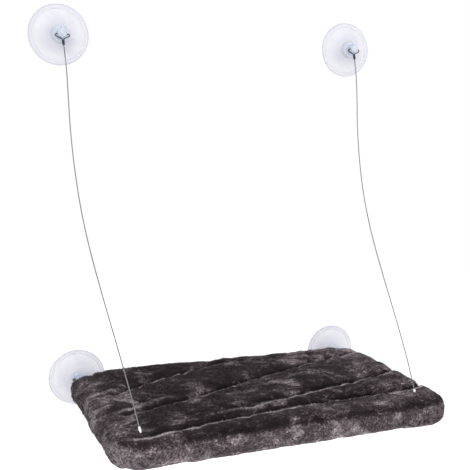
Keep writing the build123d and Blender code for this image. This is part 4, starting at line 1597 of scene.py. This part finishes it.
@dataclass
class FoamCore:
    """The foam pad inside the cover, its top pressed in a little under each crease."""

    half_width: float = 0.2385
    rear: float = -0.0735
    front: float = -0.3565
    top: float = 0.0118
    bottom: float = -0.0205
    edge: float = 0.007
    edge_places: int = 9
    skin: float = 0.0045
    spacings: tuple[int, int] = (70, 90)

    def places(self, length: float, count: int) -> Array:
        """Places from 0 to a length: even, but bunched within the edge at each end by a quarter circle.

        Args:
            length: where the last place lies.
            count: number of even places, the two edges' inner ends among them.

        Returns:
            The places.
        """
        near = self.edge * (1.0 - np.cos(np.linspace(0.0, np.pi / 2.0, self.edge_places)))
        even = np.linspace(self.edge, length - self.edge, count)[1:-1]
        return np.concatenate([near, even, length - near[::-1]])

    def build(self, cover: PlushCover, foam: Material) -> None:
        """Makes the pad: both faces fall to its waist round the edge by quarter circles.

        Args:
            cover: the cover that it fills.
            foam: the material.
        """
        x = self.places(2.0 * self.half_width, self.spacings[0]) - self.half_width
        row = self.rear - self.places(self.rear - self.front, self.spacings[1])
        wide, y = np.meshgrid(x, row, indexing="ij")
        _, creases, shares = cover.plan(x)
        under_cover = cover.upper(x, y, creases, shares) - self.skin
        inside = np.minimum(self.half_width - np.abs(wide), np.minimum(self.rear - y, y - self.front))
        fall = fullness(inside, self.edge)
        waist = (self.top + self.bottom) / 2.0
        faces = (np.minimum(self.top, under_cover), self.bottom)
        piece, _ = joined_sheets("foam_core", x, y, [waist + (height - waist) * fall for height in faces])
        fit_to_bed(piece, foam, "foam_pad")


@dataclass
class BasePanel:
    """Woven cloth stretched under the bed, with a turned hem sewn down all round."""

    half_x: float = 0.2560
    half_y: float = 0.1560
    middle: float = -0.2175
    corner: float = 0.030
    height: float = -0.0224
    thickness: float = 0.0009
    hem: float = 0.0095
    hem_step: float = 0.0006
    hem_ramp: float = 0.0012
    ripple: float = 0.0010
    ripple_numbers: tuple[Pair, ...] = ((61.0, 23.0), (0.0, 47.0), (29.0, -71.0))
    third_ripple: float = 0.5
    calm_edge: float = 0.03
    calm_from: float = -0.103
    stations: int = 90
    rows: int = 64
    stitch_inset: float = 0.0075
    stitch_pitch: float = 0.0042
    stitch: Point = (0.0031, 0.0006, 0.0005)

    def sheet(self) -> Piece:
        """Makes the cloth.

        Each station's rows run between the two long edges, drawn in by quarter circles at the corners. Faint
        ripples, a product of two sines and a third sine, die out at the edges and under the zip. The cloth
        steps down where the hem lies double.

        Returns:
            The cloth.
        """
        x = -self.half_x * np.cos(np.linspace(0.0, np.pi, self.stations))
        past = np.clip(np.abs(x) - (self.half_x - self.corner), 0.0, self.corner)
        half = self.half_y - self.corner + np.sqrt(np.maximum(self.corner**2 - past**2, 0.0))
        share = np.cos(np.linspace(0.0, np.pi, self.rows))
        y = self.middle + half[:, None] * share[None, :]
        wide = np.repeat(x[:, None], len(share), axis=1)
        inside = inside_rounded(wide, y - self.middle, self.half_x, self.half_y, self.corner)
        first, second, third = (np.sin(wide * along + y * over) for along, over in self.ripple_numbers)
        waves = first * second + self.third_ripple * third
        double = smooth_step((self.hem - inside) / self.hem_ramp + 0.5)
        loose = smooth_step(inside / self.calm_edge) * smooth_step((self.calm_from - y) / self.calm_edge)
        z = self.height + self.ripple * waves * loose - self.hem_step * double
        points = np.stack([wide, y, z], axis=-1).reshape(-1, 3)
        piece = solid_object("base_cloth", points, grid_faces(len(x), len(share))[:, ::-1].tolist())
        walls = piece.modifiers.new("thickness", "SOLIDIFY")
        walls.thickness = self.thickness
        walls.offset = 0.0
        return piece

    def stitches(self) -> Piece:
        """Makes the row of stitches along the hem.

        Returns:
            The stitches.
        """
        inset = self.stitch_inset
        spots, ahead = rounded_outline(
            self.half_x - inset, self.half_y - inset, self.corner - inset, self.stitch_pitch)
        level = self.height - self.hem_step - self.thickness / 2.0
        return rounded_bars("hem_stitches", spots + (0.0, self.middle), level, ahead, self.stitch)

    def build(self, cloth: Material, thread: Material) -> None:
        """Makes the cloth and its hem stitches.

        Args:
            cloth: material of the panel.
            thread: material of the stitches.
        """
        piece, stitches = self.sheet(), self.stitches()
        fit_to_bed(piece, cloth, "base_panel")
        fit_to_bed(stitches, thread)


@dataclass
class Zip:
    """The zip of the underside: two woven tapes, a coil of teeth, two stops and rows of stitches."""

    half_length: float = 0.177
    middle: float = -0.087
    top: float = -0.02255
    thickness: float = 0.0008
    tape_half: float = 0.0119
    tape_squareness: float = 0.3
    tape_points: int = 40
    tape_stations: int = 150
    bead: Pair = (0.0002, 0.0032)
    rib_pitch: float = 0.0047
    rib_share: float = 0.02
    teeth_half: float = 0.1645
    pitch: float = 0.0018
    tooth: Point = (0.0040, 0.00105, 0.0015)
    tooth_off: float = 0.0010
    tooth_drop: float = 0.0006
    tooth_slant: float = 0.12
    stop: Point = (0.0062, 0.0026, 0.0020)
    stop_past: float = 0.0015
    stop_drop: float = 0.0008
    stitch: Point = (0.0029, 0.0006, 0.0005)
    stitch_pitch: float = 0.0038
    stitch_off: float = 0.0098
    stitch_inset: float = 0.0035
    stitch_ends: Pair = (0.004, 0.003)
    end_stitches: int = 5
    end_stitch_off: float = 0.0075

    @property
    def underside(self) -> float:
        """Height of the tape's lower face."""
        return self.top - self.thickness

    def tape(self) -> Piece:
        """Carries the tape's profile along the zip.

        The profile is a flat oval: its half width and half height times a cosine and sine, each raised to a
        small power with its sign kept, with a shallow bead along the middle for the cord under the teeth.

        Returns:
            The tape.
        """
        angle = np.linspace(0.0, 2.0 * np.pi, self.tape_points, endpoint=False)
        waves = np.stack([np.cos(angle), np.sin(angle)])
        flat = np.sign(waves) * np.abs(waves) ** self.tape_squareness
        across, height = self.tape_half * flat[0], self.thickness / 2.0 * flat[1]
        height = height - self.bead[0] * (height < 0.0) * bell(across, 0.0, self.bead[1])
        x = np.linspace(-self.half_length, self.half_length, self.tape_stations)
        rib = 1.0 + self.rib_share * np.sin(x * 2.0 * np.pi / self.rib_pitch)
        wide, level = np.meshgrid(x, self.top - self.thickness / 2.0 + height, indexing="ij")
        return closed_tube("zip_tape", np.stack([wide, self.middle + across * rib[:, None], level], axis=-1))

    def teeth(self) -> Piece:
        """Makes two rows of slanting teeth that reach past the middle by turns, each a rounded bar.

        Returns:
            The teeth.
        """
        x = np.arange(-self.teeth_half, self.teeth_half, self.pitch / 2.0)
        side = np.where(np.arange(len(x)) % 2 == 0, 1.0, -1.0)
        spots = np.column_stack([x, self.middle + side * self.tooth_off])
        ahead = np.column_stack([np.full(len(x), self.tooth_slant), side])
        return rounded_bars("zip_teeth", spots, self.underside - self.tooth_drop, ahead, self.tooth)

    def stops(self) -> Piece:
        """Makes the folded metal stops at both ends of the teeth.

        Returns:
            The stops.
        """
        reach = self.teeth_half + self.stop_past
        spots = np.array([(side.value * reach, self.middle) for side in Side])
        return rounded_bars("zip_stops", spots, self.underside - self.stop_drop, (0.0, 1.0), self.stop)

    def stitches(self) -> Piece:
        """Makes a row of stitches along each edge of the tape, and one across each of its ends.

        Returns:
            The stitches.
        """
        first, last = self.stitch_ends
        x = np.arange(-self.half_length + first, self.half_length - last, self.stitch_pitch)
        y = self.middle + np.linspace(-self.end_stitch_off, self.end_stitch_off, self.end_stitches)
        reach = self.half_length - self.stitch_inset
        sides = [side.value for side in Side]
        rows = [np.column_stack([x, np.full(len(x), self.middle + side * self.stitch_off)]) for side in sides]
        ends = [np.column_stack([np.full(len(y), side * reach), y]) for side in sides]
        ahead = np.repeat([(1.0, 0.0), (0.0, 1.0)], [2 * len(x), 2 * len(y)], axis=0)
        return rounded_bars("zip_stitches", np.concatenate(rows + ends), self.underside, ahead, self.stitch)

    def build(self, finishes: dict[str, Material]) -> None:
        """Makes every piece of the zip but its slider.

        Args:
            finishes: the materials by name.
        """
        tape, teeth, stops, stitches = self.tape(), self.teeth(), self.stops(), self.stitches()
        fit_to_bed(tape, finishes["zip_coil"], "zip_chain")
        fit_to_bed(teeth, finishes["zip_teeth"], "zip_chain")
        fit_to_bed(stops, finishes["zip_metal"])
        fit_to_bed(stitches, finishes["thread"])


# Dressing of the pieces whose shape is already right

FINISHES = {
    "clear_pvc": ClearPvc(),
    "steel_rope": SteelRope(),
    "rope_loop": SteelRope("rope_loop", (0.085, 0.085, 0.090), (0.030, 0.030, 0.033)),
    "dark_crimp": Metal("dark_crimp", (0.035, 0.035, 0.04), (0.12, 0.12, 0.13), 0.6, 0.45),
    "bright_ferrule": Metal("bright_ferrule", (0.88, 0.88, 0.89), (0.72, 0.72, 0.74), 0.75, 0.28),
    "corner_plastic": MouldedPlastic(),
    "frame_tube": Metal("frame_tube", (0.05, 0.05, 0.052), (0.09, 0.09, 0.09), 0.0, 0.5),
    "pin_steel": Metal("pin_steel", (0.62, 0.62, 0.64), (0.48, 0.48, 0.50), 0.95, 0.3),
    "foam": Foam(),
    "base_fabric": WovenCloth("base_fabric", (0.010, 0.010, 0.011), (0.105, 0.102, 0.110), 0.0012),
    "zip_coil": WovenCloth("zip_coil", (0.018, 0.018, 0.020), (0.095, 0.095, 0.100), 0.0006),
    "zip_teeth": MouldedPlastic("zip_teeth", (0.045, 0.045, 0.049), 0.34),
    "thread": WovenCloth("thread", (0.090, 0.084, 0.092), (0.200, 0.190, 0.200), 0.0005),
    "zip_metal": Metal("zip_metal", (0.030, 0.030, 0.032), (0.10, 0.10, 0.10), 0.5, 0.35),
    "plush": Plush(),
    "plush_nap": Plush("plush_nap", 0.30),
}


def dress_nodes(finishes: dict[str, Material]) -> None:
    """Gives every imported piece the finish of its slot, and the upper loops their darker one.

    Args:
        finishes: a material for each slot of the record.
    """
    for part in frame["record"]["subparts"]:
        upper_loop = part["node"].startswith("upper_loop")
        material = finishes["rope_loop" if upper_loop else part["material_slot"]]
        node = frame["nodes"][part["node"]]
        if not node.data.materials:
            node.data.materials.append(material)
        for place in node.material_slots:
            place.material = material


def main() -> None:
    """Builds the room and the perch, piece by piece."""
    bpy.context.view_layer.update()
    Studio().build()
    finishes = {name: finish.material() for name, finish in FINISHES.items()}
    Suspension().build(finishes["steel_rope"])
    cover = PlushCover()
    FoamCore().build(cover, finishes["foam"])
    BasePanel().build(finishes["base_fabric"], finishes["thread"])
    Zip().build(finishes)
    Nap().build(cover.build(finishes["plush"]), finishes["plush_nap"])
    dress_nodes(finishes)


if __name__ == "__main__":
    logging.basicConfig(level=logging.INFO, format="%(message)s")
    main()
